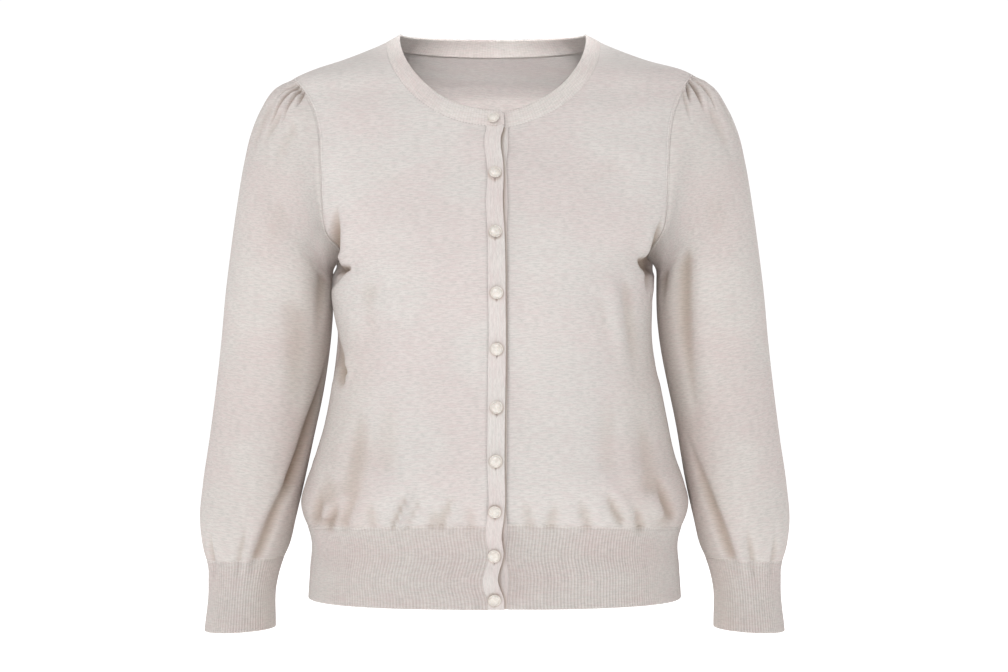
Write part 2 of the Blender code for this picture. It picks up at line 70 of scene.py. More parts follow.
# The sides hang lower from the waist down, and rise again over the hem rib.
SIDE_DROOP, DROOP_FROM, DROOP_SPAN = 10.0, -300, 160
RISE_SHARE, RISE_FROM, RISE_SPAN = 0.9, -505, 71

Section = namedtuple("Section", "height half_width front back squareness middle")
TRUNK = [Section(*row) for row in (
    (-576, 200.0, 139, 126, 2.4, 0),
    (-540, 198.0, 138, 125, 2.4, 0),
    (-502, 197.5, 138, 125, 2.4, 0),
    (-491, 201.0, 142, 130, 2.4, 0),
    (-480, 205.5, 147, 135, 2.4, 0),
    (-466, 208.0, 150, 137, 2.4, 0),
    (-445, 203.0, 151, 135, 2.4, 0),
    (-415, 191.0, 148, 129, 2.35, 0),
    (-380, 181.5, 143, 120, 2.3, 0),
    (-340, 174.0, 139, 112, 2.3, 0),
    (-300, 169.5, 138, 110, 2.3, 0),
    (-260, 169.5, 139, 112, 2.3, 0),
    (-232, 170.5, 138, 115, 2.3, 1),
    (-218, 171.5, 137, 117, 2.3, 1),
    (-200, 183.0, 134, 119, 2.35, 2),
    (-186, 191.0, 131, 121, 2.4, 2),
    (-150, 209.0, 121, 124, 2.4, 3),
    (-110, 221.0, 107, 124, 2.4, 4),
    (-80, 225.0, 96, 120, 2.3, 5),
    (-60, 225.5, 88, 115, 2.25, 5),
    (-40, 223.5, 78, 107, 2.2, 6),
    (-20, 217.0, 69, 97, 2.1, 6),
    (-10, 194.5, 63, 91, 2.1, 6),
    (0, 164.0, 56, 85, 2.05, 6),
    (11, 135.5, 48, 79, 2.0, 6),
    (19, 117.5, 41, 75, 2.0, 6),
    (29, 99.0, 34, 70, 2.0, 6),
    (33, 94.0, 31, 68, 2.0, 6),
)]

# Where the armhole seam crosses each height, in front and behind.
Armhole = namedtuple("Armhole", "height front back")
ARMHOLE = [Armhole(*row) for row in (
    (-218, 171.5, 171.5),
    (-212, 172.5, 173.0),
    (-200, 175.5, 177.0),
    (-186, 178.5, 180.5),
    (-150, 181.0, 184.0),
    (-110, 182.5, 186.0),
    (-80, 185.0, 189.0),
    (-60, 190.0, 194.0),
    (-42, 199.0, 202.0),
    (-30, 208.0, 210.0),
    (-20, 217.0, 217.0),
)]
TIP = ARMHOLE[-1].height

NeckEdge = namedtuple("NeckEdge", "half_width side_height front_drop back_drop roundness")
NECK_SEAM = NeckEdge(114.5, 20.55, 100.5, 5.0, 1.9)

# The way the front bands lie as they are buttoned. Between the buttons the over band shifts and
# bows out, and the under band's seam shows beside it.
BandRow = namedtuple("BandRow", "height over_left over_right over_rise under_right under_sink")
BANDS = [BandRow(*row) for row in (
    (-576, -6.0, 9.6, 2.2, 14.0, 2.2),
    (-566, -7.0, 9.2, 2.4, 13.6, 2.4),
    (-556, -10.2, 5.6, 4.4, 14.2, 3.6),
    (-547, -11.4, 3.0, 5.6, 15.0, 4.6),
    (-537, -9.0, 4.6, 4.6, 14.0, 4.0),
    (-528, -6.4, 7.4, 3.0, 12.0, 2.8),
    (-520, -5.4, 8.8, 2.4, 11.4, 2.4),
    (-510, -7.0, 7.6, 3.6, 12.6, 3.4),
    (-500, -8.4, 6.8, 4.4, 13.4, 3.8),
    (-489, -7.4, 8.2, 3.4, 13.0, 3.0),
    (-475, -5.8, 9.8, 2.2, 12.4, 2.2),
    (-425, -6.4, 9.8, 2.2, 12.8, 2.2),
    (-371, -6.2, 10.4, 2.2, 13.0, 2.2),
    (-340, -6.0, 10.8, 2.4, 13.4, 2.3),
    (-311, -5.4, 11.2, 2.2, 13.4, 2.2),
    (-254, -5.6, 10.8, 2.2, 13.2, 2.2),
    (-222, -6.0, 10.6, 2.4, 13.4, 2.4),
    (-192, -6.4, 9.8, 2.2, 12.8, 2.2),
    (-160, -8.0, 8.0, 3.0, 13.6, 3.0),
    (-130, -6.6, 8.8, 2.2, 12.6, 2.2),
    (-119, -7.6, 8.2, 2.8, 12.0, 2.8),
    (-102, -9.6, 6.0, 4.2, 14.0, 3.8),
    (-93, -9.4, 6.0, 4.0, 14.2, 3.6),
    (-84, -8.0, 8.4, 2.8, 13.8, 2.8),
    (-73, -7.0, 10.4, 2.4, 13.4, 2.4),
)]

# Soft troughs, or ridges where the depth is below 0, as straight runs seen from the front.
Fold = namedtuple("Fold", "x1 z1 x2 z2 width depth")
FRONT_FOLDS = [Fold(*row) for row in (
    # the right underarm: a deep pull, the bulge it leaves and the hollow under that
    (-175, -240, -164, -150, 6.6, 10.5),
    (-160, -218, -150, -168, 8, -2.6),
    (-160, -208, -154, -236, 6, -4.6),
    (-150, -226, -176, -230, 3.4, 9.0),
    (-160, -225, -173, -250, 5.0, 8.0),
    (-156, -262, -140, -338, 11, -2.2),
    (-162, -354, -171, -284, 6.5, 7.0),
    (-153, -333, -172, -338, 5.0, 4.0),
    (-158, -348, -148, -300, 5.5, -2.4),
    (-134, -232, -112, -350, 15, 2.6),
    (-116, -250, -98, -360, 18, -2.0),
    # the left underarm
    (165, -236, 178, -168, 4.8, 12.0),
    (158, -214, 166, -176, 7, -2.6),
    (167, -226, 148, -216, 5.0, 10.0),
    (166, -224, 161, -256, 4.5, 7.0),
    (136, -232, 150, -360, 9, 3.4),
    (118, -230, 138, -350, 9, -2.4),
    (112, -250, 124, -330, 12, 2.2),
    # long slack folds down the sides to the blousing
    (-150, -474, -134, -350, 13, 4.0),
    (-166, -450, -150, -370, 9, -2.4),
    (-112, -450, -106, -320, 18, 2.2),
    (164, -470, 146, -356, 12, 3.4),
    (144, -452, 128, -366, 12, -2.2),
    (120, -450, 112, -320, 18, 2.2),
    # the blousing's creases, right front
    (-106, -498, -82, -446, 3.6, 5.0),
    (-99, -500, -75, -444, 4.4, -4.6),
    (-93, -498, -68, -448, 4.0, 3.4),
    (-180, -504, -168, -420, 13, 4.2),
    (-192, -500, -181, -452, 5.0, 4.4),
    (-180, -492, -170, -462, 5.5, -3.0),
    (-176, -502, -160, -466, 4.8, 4.0),
    (-158, -500, -140, -452, 7.0, 4.4),
    (-148, -498, -132, -460, 6.0, -3.0),
    (-56, -498, -38, -448, 5.5, 4.4),
    (-48, -498, -30, -456, 5.0, -3.0),
    (-66, -498, -56, -464, 6.0, 3.2),
    (-124, -498, -130, -456, 6.5, 3.2),
    (-22, -498, -28, -456, 7.5, 2.6),
    # the blousing's creases, left front
    (182, -504, 166, -424, 12, 3.2),
    (190, -494, 168, -438, 5.0, 5.0),
    (176, -490, 158, -450, 6.0, -3.0),
    (134, -496, 110, -448, 5.0, 5.6),
    (144, -494, 120, -444, 5.5, -3.4),
    (98, -498, 84, -454, 6.5, 3.8),
    (56, -498, 66, -458, 7.5, 3.4),
    (38, -498, 28, -450, 7.5, 2.8),
    (154, -502, 142, -464, 5.5, 5.0),
    # faint slack across the bust and under it
    (-140, -116, -50, -164, 24, 1.4),
    (138, -114, 56, -156, 22, 1.4),
)]
BACK_FOLDS = [Fold(*row) for row in (
    (-172, -232, -152, -136, 8, 7.5),
    (-160, -226, -138, -150, 10, -2.4),
    (171, -232, 154, -130, 8, 7.0),
    (160, -226, 142, -148, 10, -2.4),
    (-174, -238, -112, -272, 8, 4.4),
    (173, -236, 106, -276, 8, 4.0),
    (-154, -160, -126, -60, 15, 3.6),
    (152, -166, 130, -64, 15, 3.2),
    (-110, -470, -50, -230, 20, 3.4),
    (-124, -420, -82, -260, 18, -2.2),
    (118, -466, 60, -226, 20, 3.0),
    (132, -416, 90, -256, 18, -2.2),
    (18, -476, 2, -280, 26, 2.2),
    (-144, -478, -156, -290, 13, 3.8),
    (142, -478, 156, -300, 13, 3.4),
    (-128, -498, -98, -446, 5.5, 5.4),
    (-116, -498, -88, -448, 5.0, -3.4),
    (-72, -498, -60, -454, 7, 3.8),
    (-32, -498, -8, -448, 6, 4.6),
    (-22, -498, 2, -452, 5, -3.0),
    (20, -498, 28, -458, 7, 3.4),
    (62, -498, 88, -446, 6, 5.0),
    (118, -498, 124, -456, 7, 4.0),
    (150, -498, 168, -448, 6, 5.4),
    (-156, -498, -172, -448, 6, 5.2),
    (-60, -126, 60, -134, 40, 1.6),
)]
# Folds over the side seams, the same on the front and the back.
SIDE_FOLDS = [Fold(*row) for row in (
    (-171, -224, -169, -300, 16, -6.0),
    (171, -350, 170, -262, 18, 1.2),
    (171, -228, 170, -262, 14, -2.0),
    (-190, -440, -186, -390, 20, -1.0),
)]


def smooth_curve(places, values):
    """The smooth curve through pairs of rising places and values, as a function of place."""
    place, value = np.asarray(places, float), np.asarray(values, float)
    step = np.diff(place)
    rise = np.diff(value) / step
    slope = np.empty_like(value)
    slope[1:-1] = (rise[:-1] * step[1:] + rise[1:] * step[:-1]) / (step[1:] + step[:-1])
    slope[0], slope[-1] = rise[0], rise[-1]

    def curve(at):
        at = np.clip(at, place[0], place[-1])
        i = np.clip(np.searchsorted(place, at, side="right") - 1, 0, len(step) - 1)
        t = (at - place[i]) / step[i]
        start = (1 + 2 * t) * (1 - t) ** 2 * value[i] + t * (1 - t) ** 2 * step[i] * slope[i]
        end = t * t * (3 - 2 * t) * value[i + 1] - t * t * (1 - t) * step[i] * slope[i + 1]
        return start + end

    return curve


def columns_of(rows, key):
    """One smooth curve for each named column of a table, along the column named key."""
    places = [getattr(row, key) for row in rows]
    names = [name for name in rows[0]._fields if name != key]
    return {name: smooth_curve(places, [getattr(row, name) for row in rows]) for name in names}


TRUNK_AT = columns_of(TRUNK, "height")
ARMHOLE_AT = columns_of(ARMHOLE, "height")
BAND_AT = columns_of(BANDS, "height")


def ease(t):
    """0 below 0, 1 above 1, and a soft step between them."""
    t = np.clip(t, 0.0, 1.0)
    return t * t * (3 - 2 * t)


def unit(vectors):
    return vectors / np.maximum(np.linalg.norm(vectors, axis=-1, keepdims=True), 1e-9)


def spacing(points, axis):
    """Distances between neighbouring points along an axis of a grid."""
    return np.linalg.norm(np.diff(points, axis=axis), axis=-1)


def rounded(angle, power):
    """Sine and cosine of an angle, and how far out a squared-off round of that power reaches."""
    sine, cosine = np.sin(np.radians(angle)), np.cos(np.radians(angle))
    return sine, cosine, (np.abs(sine) ** power + np.abs(cosine) ** power) ** (-1 / power)


def trunk_point(angle, height):
    """A point of the trunk. Angle 0 is the centre front, 90 the wearer's left, 180 the back."""
    sine, cosine, reach = rounded(angle, TRUNK_AT["squareness"](height))
    depth = np.where(cosine > 0, TRUNK_AT["front"](height), TRUNK_AT["back"](height))
    x = TRUNK_AT["half_width"](height) * sine * reach
    y = TRUNK_AT["middle"](height) - depth * cosine * reach
    drooped = ease((DROOP_FROM - height) / DROOP_SPAN)
    risen = RISE_SHARE * ease((RISE_FROM - height) / RISE_SPAN)
    z = height - SIDE_DROOP * (drooped - risen) * sine**2
    return np.stack(np.broadcast_arrays(x, y, z), axis=-1)


def angle_at(across, height):
    """The front angle, 0 to 90, at which the trunk is that far from the centre plane."""
    share = np.clip(across / TRUNK_AT["half_width"](height), 1e-6, 1.0)
    power = TRUNK_AT["squareness"](height)
    return np.degrees(np.arctan2(1.0, np.maximum(share**-power - 1, 0.0) ** (1 / power)))


def trunk_normal(angle, height):
    """The outward direction at a point of the trunk."""
    across = trunk_point(angle + 0.4, height) - trunk_point(angle - 0.4, height)
    up = trunk_point(angle, height + 0.6) - trunk_point(angle, height - 0.6)
    return unit(np.cross(across, up))


def fold_depth(x, z, folds):
    """How far the folds sink the cloth at (x, z). Each narrows and fades towards its second end."""
    sunk = np.zeros(np.broadcast(x, z).shape)
    for f in folds:
        run = np.array([f.x2 - f.x1, f.z2 - f.z1], float)
        share = ((x - f.x1) * run[0] + (z - f.z1) * run[1]) / (run @ run)
        held = np.clip(share, 0, 1)
        away = np.hypot(x - f.x1 - held * run[0], z - f.z1 - held * run[1])
        strength = ease((share + 0.03) / 0.2) * ease((1 - share) / 0.6)
        sunk += f.depth * strength * np.exp(-((away / (f.width * (0.45 + 0.55 * strength))) ** 2))
    return sunk


def trunk_sink(angle, point, folds):
    """How far the folds sink the trunk. The front's and back's own fade towards the side seams."""
    from_side = np.abs(np.abs((np.asarray(angle) + 180) % 360 - 180) - 90)
    x, z = point[..., 0], point[..., 2]
    return fold_depth(x, z, folds) * ease(from_side / 4.5) + fold_depth(x, z, SIDE_FOLDS)


# Where each front starts to lift or sink towards the bands, and the width it takes.
OVER_LAP, UNDER_LAP = (-48, 38), (50, 34)


def signed_edge(x, side):
    """The centre-front lift of the cloth: the right front lies over the left."""
    over = ease((x - OVER_LAP[0]) / OVER_LAP[1])
    under = ease((UNDER_LAP[0] - x) / UNDER_LAP[1])
    return np.where(np.less(side, 0), over, np.where(np.greater(side, 0), -under, 0.0))


def trunk_cloth(angle, height, side, folds):
    """Outer points of the trunk with its folds, and their outward directions."""
    point, normal = trunk_point(angle, height), trunk_normal(angle, height)
    lap = signed_edge(point[..., 0], side)
    lift = np.where(lap > 0, lap * BAND_AT["over_rise"](height), lap * BAND_AT["under_sink"](height))
    if folds:
        lift = lift - trunk_sink(angle, point, folds)
    return point + normal * lift[..., None], normal


def neck_edge(edge, turn, shrink=0.0):
    """Distance from the centre plane and height of a neck edge, made larger by shrink all round.

    Turn 0 is the front, 90 the side and 180 the back.
    """
    sine, cosine, reach = rounded(turn, edge.roundness)
    drop = np.where(cosine > 0, edge.front_drop + shrink, edge.back_drop + shrink)
    reach = np.where(cosine > 0, reach, 1.0)
    height = edge.side_height - drop * np.abs(cosine) * reach - 0.45 * shrink * sine**2
    return (edge.half_width + shrink) * sine * reach, height


def armhole_place(turn):
    """(trunk angle, height) of the armhole seam: turn 0 at the shoulder tip, 90 front, 180 below."""
    height = (TIP + UNDERARM) / 2 + (TIP - UNDERARM) / 2 * np.cos(np.radians(turn))
    front = angle_at(ARMHOLE_AT["front"](height), height)
    back = 180 - angle_at(ARMHOLE_AT["back"](height), height)
    return np.where(np.sin(np.radians(turn)) >= 0, front, back), height


# Rows of a panel: level ones from the hem rib to the underarm, then ones that run from the centre
# front or back, and next from the neck edge, to the armhole. The last lies along the shoulder.
NECK_TURNS_FRONT = (0, 20, 32, 44, 56, 68, 79, 90)
NECK_TURNS_BACK = (180, 167, 154, 141, 128, 115, 102, 90)
ARMHOLE_TURNS = (180, 165, 150, 134, 116, 98, 80, 64, 50, 34.5, 19.5, 0)
FLAT_STEPS, ALL_STEPS = 4, 11
LOW_ROWS = 104
STEPS = np.linspace(0, ALL_STEPS, 118)
FRONT_COLUMNS = np.concatenate([np.linspace(0, 0.86, 62), np.linspace(0.86, 1, 27)[1:]])
BACK_COLUMNS = np.concatenate([np.linspace(0, 0.88, 50), np.linspace(0.88, 1, 17)[1:]])
SEAM_TURN = 0.16


def panel_grid(edge_angle, neck_turns, back):
    """Angles and heights of a panel's grid, from its inner edge to side seam and armhole."""
    low = np.linspace(HEM_RIB_TOP + SEAM_GAP, UNDERARM, LOW_ROWS, endpoint=False)
    neck = STEPS >= FLAT_STEPS
    turns = np.interp(STEPS[neck], np.arange(FLAT_STEPS, ALL_STEPS + 1), neck_turns)
    neck_x, neck_height = neck_edge(NECK_SEAM, turns, SEAM_GAP)
    flat = UNDERARM + (neck_height[0] - UNDERARM) * STEPS[~neck] / FLAT_STEPS
    inner_height = np.concatenate([low, flat, neck_height])
    by_edge = edge_angle(np.concatenate([low, flat]))
    inner_angle = np.concatenate([by_edge, angle_at(neck_x, neck_height)])
    inner_angle[-1] = 90 - SEAM_TURN
    seam_angle, seam_height = armhole_place(
        np.interp(STEPS, np.arange(ALL_STEPS + 1), ARMHOLE_TURNS) * (-1 if back else 1)
    )
    outer_angle = np.concatenate([np.full(LOW_ROWS, 90.0), 180 - seam_angle if back else seam_angle])
    outer_angle = np.minimum(outer_angle, 90 - SEAM_TURN)
    outer_height = np.concatenate([low, seam_height])
    columns = BACK_COLUMNS if back else FRONT_COLUMNS
    angles = inner_angle[:, None] + (outer_angle - inner_angle)[:, None] * columns
    heights = inner_height[:, None] + (outer_height - inner_height)[:, None] * columns
    return angles, heights


# The map by which the cloth is measured: from its lowest height to its highest, in this many
# levels and this many turns of half a round.
MAP_LOW, MAP_HIGH, MAP_LEVELS, MAP_TURNS = -580, 34, 59, 120


def wale_lengths(angle, height):
    """Distances in metres across the wales and along them, for the knit's pattern."""
    levels = np.linspace(MAP_LOW, MAP_HIGH, MAP_LEVELS + 1)
    rings = trunk_point(np.linspace(0, 180, MAP_TURNS + 1)[None, :], levels[:, None])
    girth = np.pad(np.cumsum(spacing(rings, 1), axis=1), ((0, 0), (1, 0)))
    rise = np.append(0, np.cumsum(spacing(rings[:, MAP_TURNS // 3], 0)))
    folded = np.where(angle > 180, 360 - angle, np.abs(angle))
    level = (height - MAP_LOW) / (MAP_HIGH - MAP_LOW) * MAP_LEVELS
    level = np.clip(level, 0, MAP_LEVELS - 0.001)
    turn = np.clip(folded / 180 * MAP_TURNS, 0, MAP_TURNS - 0.001)
    i, j = level.astype(int), turn.astype(int)
    s, t = level - i, turn - j
    below = girth[i, j] * (1 - t) + girth[i, j + 1] * t
    above = girth[i + 1, j] * (1 - t) + girth[i + 1, j + 1] * t
    half_round = girth[i, -1] * (1 - s) + girth[i + 1, -1] * s
    arc = below * (1 - s) + above * s
    across = np.where(angle > 180, 2 * half_round - arc, np.where(angle < 0, -arc, arc))
    return across * MM, np.interp(level, np.arange(MAP_LEVELS + 1), rise) * MM


# How the cardigan hangs a little unevenly. Each lift moves all the cloth about a place.
Lift = namedtuple("Lift", "x z reach_x reach_z move_x move_z")
LIFTS = [Lift(*row) for row in (
    (214, -16, 30, 40, -2.5, 4.0),
    (190, -375, 60, 60, 3.8, 0.0),
    (0, 26, 150, 44, -3.0, 0.0),
)]


def hung(points):
    """The points as the cloth really hangs."""
    moved = points.copy()
    for lift in LIFTS:
        x, z = (points[..., 0] - lift.x) / lift.reach_x, (points[..., 2] - lift.z) / lift.reach_z
        near = np.exp(-(x**2) - z**2)
        moved[..., 0] += lift.move_x * near
        moved[..., 2] += lift.move_z * near
    return moved


# The depth at which a fold's painted shade starts, and how much more makes it full.
FOLD_SHADE_FROM, FOLD_SHADE_SPAN = 1.1, 8.9


def painted_fold_shade(sunk):
    """How much painted shade each point of a grid gets in its fold, from 0 to 1, from the
    millimetres it is sunk.
    """
    return np.clip((sunk - FOLD_SHADE_FROM) / FOLD_SHADE_SPAN, 0.0, 1.0)


def add_object(name, data):
    """An object of a mesh, lamp or camera, in the scene."""
    made = bpy.data.objects.new(name, data)
    bpy.context.scene.collection.objects.link(made)
    return made


def knit_shell(
    name, outer, normal, knit_place, thick, lips, ring=False, slit=None, from_seam=1.0, painted_shade=0.0
):
    """Makes a thin wall of cloth from a grid of outer points, as one closed mesh.

    knit_place is (across, along), each point's place in the knit in metres. The first and last rows
    are turned over in a half round, and lips says how far each stands out, as a share of the half
    thickness. ring joins the last column to the first. slit is (column, first row) of an opening
    between that column and the next, from that row up. from_seam is each point's distance from a
    seam in metres, and the last argument how much painted shade darkens and warms the knit there.
    """
    rows, columns = outer.shape[:2]
    middle = outer - normal * thick / 2

    def lip(edge, inward, stand):
        out = unit(middle[edge] - middle[inward]) * stand
        turned = [(math.cos(a), math.sin(a)) for a in np.radians((35, 70, 110, 145))]
        return [middle[edge] + thick / 2 * (normal[edge] * c + out * s) for c, s in turned]

    inner = outer - normal * thick
    loop = hung(np.stack([*outer, *lip(-1, -2, lips[1]), *inner[::-1], *lip(0, 1, lips[0])[::-1]]))
    count = len(loop)
    row_of = np.array([*range(rows), *[rows - 1] * 4, *range(rows - 1, -1, -1), *[0] * 4])
    width = columns if ring else columns - 1
    row, column = (grid.reshape(-1) for grid in np.indices((count, width)))
    if slit:
        cloth = column != slit[0]
        row, column = row[cloth], column[cloth]
    after_row, after = (row + 1) % count, (column + 1) % columns
    start, end = row * columns, after_row * columns
    faces = np.stack([start + column, start + after, end + after, end + column], axis=1).tolist()
    across, along = (np.broadcast_to(place, (rows, columns))[row_of] for place in knit_place)
    wide = np.concatenate([across, 2 * across[:, -1:] - across[:, -2:-1]], axis=1)
    beside = column + 1
    u = [wide[row, column], wide[row, beside], wide[after_row, beside], wide[after_row, column]]
    v = [along[row, column], along[row, after], along[after_row, after], along[after_row, column]]
    places = np.stack([np.stack(u, axis=1).reshape(-1), np.stack(v, axis=1).reshape(-1)], axis=1)
    ends = [] if ring else [(0, 0, 1), (columns - 1, 0, -1)]
    if slit:
        ends += [(slit[0], slit[1], -1), (slit[0] + 1, slit[1], 1)]
    for j, first, way in ends:
        strips = [[i, i + 1, count - 6 - i, count - 5 - i] for i in range(first, rows - 1)]
        strips.append([rows - 1, *range(rows, rows + 5)])
        if first == 0:
            strips.append([*range(count - 5, count), 0])
        for strip in strips:
            faces.append([i * columns + j for i in strip[::way]])
            places = np.concatenate([places, [(across[i, j], along[i, j]) for i in strip[::way]]])
    mesh = bpy.data.meshes.new(name)
    mesh.from_pydata((loop.reshape(-1, 3) * MM).tolist(), [], faces)
    mesh.uv_layers.new(name="knit").data.foreach_set("uv", places.astype(np.float32).reshape(-1))
    for layer, values in (("from_seam", from_seam), ("painted_shade", painted_shade)):
        spread = np.broadcast_to(values, (rows, columns))[row_of].astype(np.float32)
        mesh.attributes.new(layer, "FLOAT", "POINT").data.foreach_set("value", spread.reshape(-1))
    build = bmesh.new()
    build.from_mesh(mesh)
    if slit:
        bmesh.ops.remove_doubles(build, verts=build.verts, dist=1e-6)
    if build.calc_volume(signed=True) < 0:
        bmesh.ops.reverse_faces(build, faces=build.faces)
    build.to_mesh(mesh)
    build.free()
    mesh.shade_smooth()
    return add_object(name, mesh)


# The yarn. Its fibres are dyed cream, grey and rose-beige before they are spun, so the cloth is
# flecked along its courses. Each wale is a column of small leaning stitches.
CREAM = (0.715, 0.676, 0.648, 1.0)
GREY = (0.590, 0.566, 0.540, 1.0)
ROSE = (0.670, 0.596, 0.578, 1.0)
# WHITE, the rosy tint of the random patches, and WARM, the tint of the painted shade.
WHITE, ROSY, WARM = (1.0, 1.0, 1.0, 1.0), (0.985, 0.950, 0.955, 1.0), (1.0, 0.84, 0.69, 1.0)
WALE, COURSE, STITCH_LEAN = 0.0016, 0.00125, 1.2
# How far the painted shade darkens the knit, and how far it warms it.
FOLD_SHADE, FOLD_WARMTH = 0.38, 0.8
# Metres from a linked seam between which its ridge and then its furrow rise, and fade again.
SEAM_RIDGE = ((0.0002, 0.0008), (0.0014, 0.0022))
SEAM_FURROW = ((0.0018, 0.0024), (0.0028, 0.0036))
YARN_SURFACE = {
    "Specular IOR Level": 0.2,
    "Sheen Weight": 0.12,
    "Sheen Roughness": 0.45,
    "Sheen Tint": (1.0, 0.97, 0.94, 1.0),
}


def set_inputs(node, inputs):
    """Sets a node's inputs, each to a constant or linked from another node's output."""
    for key, value in inputs.items():
        if isinstance(value, bpy.types.NodeSocket):
            node.id_data.links.new(value, node.inputs[key])
        else:
            node.inputs[key].default_value = value


def add_node(kind, inputs, beside=None, **settings):
    """A shader node with its settings and inputs, in the tree of what is linked or beside it."""
    linked = [value for value in inputs.values() if isinstance(value, bpy.types.NodeSocket)]
    made = (beside or linked[0]).id_data.nodes.new(kind)
    for name, value in settings.items():
        setattr(made, name, value)
    set_inputs(made, inputs)
    return made


def add_material(name):
    """A new material and its shader."""
    material = bpy.data.materials.new(name)
    material.use_nodes = True
    return material, material.node_tree.nodes["Principled BSDF"]


def calculate(operation, first, second=0.0, third=0.0):
    inputs = {0: first, 1: second, 2: third}
    return add_node("ShaderNodeMath", inputs, operation=operation).outputs[0]


def times(first, second, added=None):
    """The first times the second, and the third added to that where there is one."""
    if added is None:
        return calculate("MULTIPLY", first, second)
    return calculate("MULTIPLY_ADD", first, second, added)


def streaks(place, across, along, detail=3.0):
    """Noise of that many patches per metre across and along the wales."""
    inputs = {0: place, 1: (across, along, 1.0)}
    stretched = add_node("ShaderNodeVectorMath", inputs, operation="MULTIPLY").outputs[0]
    inputs = {"Vector": stretched, "Scale": 1.0, "Detail": detail, "Roughness": 0.6}
    return add_node("ShaderNodeTexNoise", inputs, noise_dimensions="2D").outputs["Fac"]


def between(value, low, high):
    """0 where the value is below low, 1 above high, soft between."""
    inputs = {"Value": value, "From Min": low, "From Max": high}
    return add_node("ShaderNodeMapRange", inputs, interpolation_type="SMOOTHSTEP").outputs[0]


def mixed(share, first, second, blend="MIX"):
    inputs = {0: share, 6: first, 7: second}
    return add_node("ShaderNodeMix", inputs, data_type="RGBA", blend_type=blend).outputs[2]


def melange_knit(name, shade, stitch_depth, flecked=1.0, seam_marks=False):
    """Fine knit in the melange yarn. shade darkens it, as where rib furrows hold less light."""
    material, cloth = add_material(name)
    place = add_node("ShaderNodeUVMap", {}, cloth, uv_map="knit").outputs[0]
    split = add_node("ShaderNodeSeparateXYZ", {0: place})
    wale = calculate("DIVIDE", split.outputs[0], WALE)
    leg = calculate("ABSOLUTE", calculate("SUBTRACT", calculate("FRACT", wale), 0.5))
    loops = times(split.outputs[1], 1 / COURSE, times(leg, STITCH_LEAN))
    lean = calculate("SINE", times(loops, math.tau))
    bulge = calculate("SINE", times(leg, math.tau))
    stitch = times(bulge, times(lean, 0.22, 0.78))
    dashes = streaks(place, 130.0, 700.0)
    fibres = streaks(place, 420.0, 1500.0, 2.0)
    drift = streaks(place, 16.0, 26.0, 2.0)
    rose = streaks(place, 60.0, 380.0, 2.0)
    patches = between(streaks(place, 9.0, 13.0, 1.0), 0.36, 0.64)
    colour = mixed(times(between(dashes, 0.40, 0.66), flecked), CREAM, GREY)
    colour = mixed(times(between(rose, 0.42, 0.70), 0.6), colour, ROSE)
    colour = mixed(1.0, colour, mixed(patches, WHITE, ROSY), "MULTIPLY")
    # The fibres and drift vary the tone at random; painted shade darkens the knit between the
    # stitches, and all over by shade.
    light = times(fibres, 0.16, 0.92)
    light = times(light, times(drift, 0.08, 0.96))
    light = times(light, times(stitch, 0.07, shade - 0.05))
    height = times(fibres, 0.5, stitch)
    # With seam marks, the ridge along a linked seam is painted lighter and its furrow darker,
    # besides their bump, and the turned edges in the seam's gap are painted lighter against its
    # shade.
    if seam_marks:
        away = add_node("ShaderNodeAttribute", {}, cloth, attribute_name="from_seam").outputs["Fac"]
        ridge, furrow = (
            calculate("SUBTRACT", between(away, *rise), between(away, *fade))
            for rise, fade in (SEAM_RIDGE, SEAM_FURROW)
        )
        light = times(ridge, 0.07, light)
        light = times(furrow, -0.03, light)
        turned = calculate("SUBTRACT", 1.0, between(away, 0.0, 0.0007))
        light = times(turned, 0.22, light)
        height = times(ridge, 1.5, height)
        height = times(furrow, -0.8, height)
    # Painted shade: the knit is darkened and warmed as far as each point is shaded, in folds, rib
    # furrows, round the buttons, under the arms and down the sleeves.
    painted_shade = add_node("ShaderNodeAttribute", {}, cloth, attribute_name="painted_shade").outputs["Fac"]
    light = times(light, times(painted_shade, -FOLD_SHADE, 1.0))
    deep = times(calculate("MAXIMUM", painted_shade, 0.0), FOLD_WARMTH)
    colour = mixed(1.0, colour, mixed(deep, WHITE, WARM), "MULTIPLY")
    grey_light = add_node("ShaderNodeCombineColor", {0: light, 1: light, 2: light}).outputs[0]
    inputs = {"Height": height, "Strength": 1.0, "Distance": stitch_depth}
    made = {
        "Base Color": mixed(1.0, colour, grey_light, "MULTIPLY"),
        "Normal": add_node("ShaderNodeBump", inputs).outputs[0],
        "Roughness": times(fibres, 0.12, 0.84),
    }
    set_inputs(cloth, YARN_SURFACE | made)
    return material


jersey = melange_knit("melange_jersey", 1.0, 0.00022, flecked=0.8, seam_marks=True)


def seam_distance(outer, first_row):
    """Metres along each row to the armhole seam, and far away in the rows below it."""
    away = np.cumsum(spacing(outer, 1)[:, ::-1], axis=1)[:, ::-1]
    away = np.pad(away, ((0, 0), (0, 1)))
    away[:first_row] += 100
    return away * MM


def dress(piece, material, slot, node, **sheet):
    """Gives a piece its material, hangs it on the root body and hides the model's part it stands
    for.
    """
    piece.data.materials.append(material)
    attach(piece, "root")
    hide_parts(node)


def band_edge(side, height):
    """How far from the centre plane the front bands end, on the left (1) or the right (-1)."""
    return BAND_AT["under_right"](height) if side > 0 else -BAND_AT["over_left"](height)


# Painted shade on the fronts under the arms: its strength, where it starts, and the way it takes to
# grow.
ARM_SHADE, SHADE_OUT, SHADE_OUT_SPAN, SHADE_DOWN, SHADE_DOWN_SPAN = 0.12, 105, 50, -240, 90
NECK_CORNER = -80


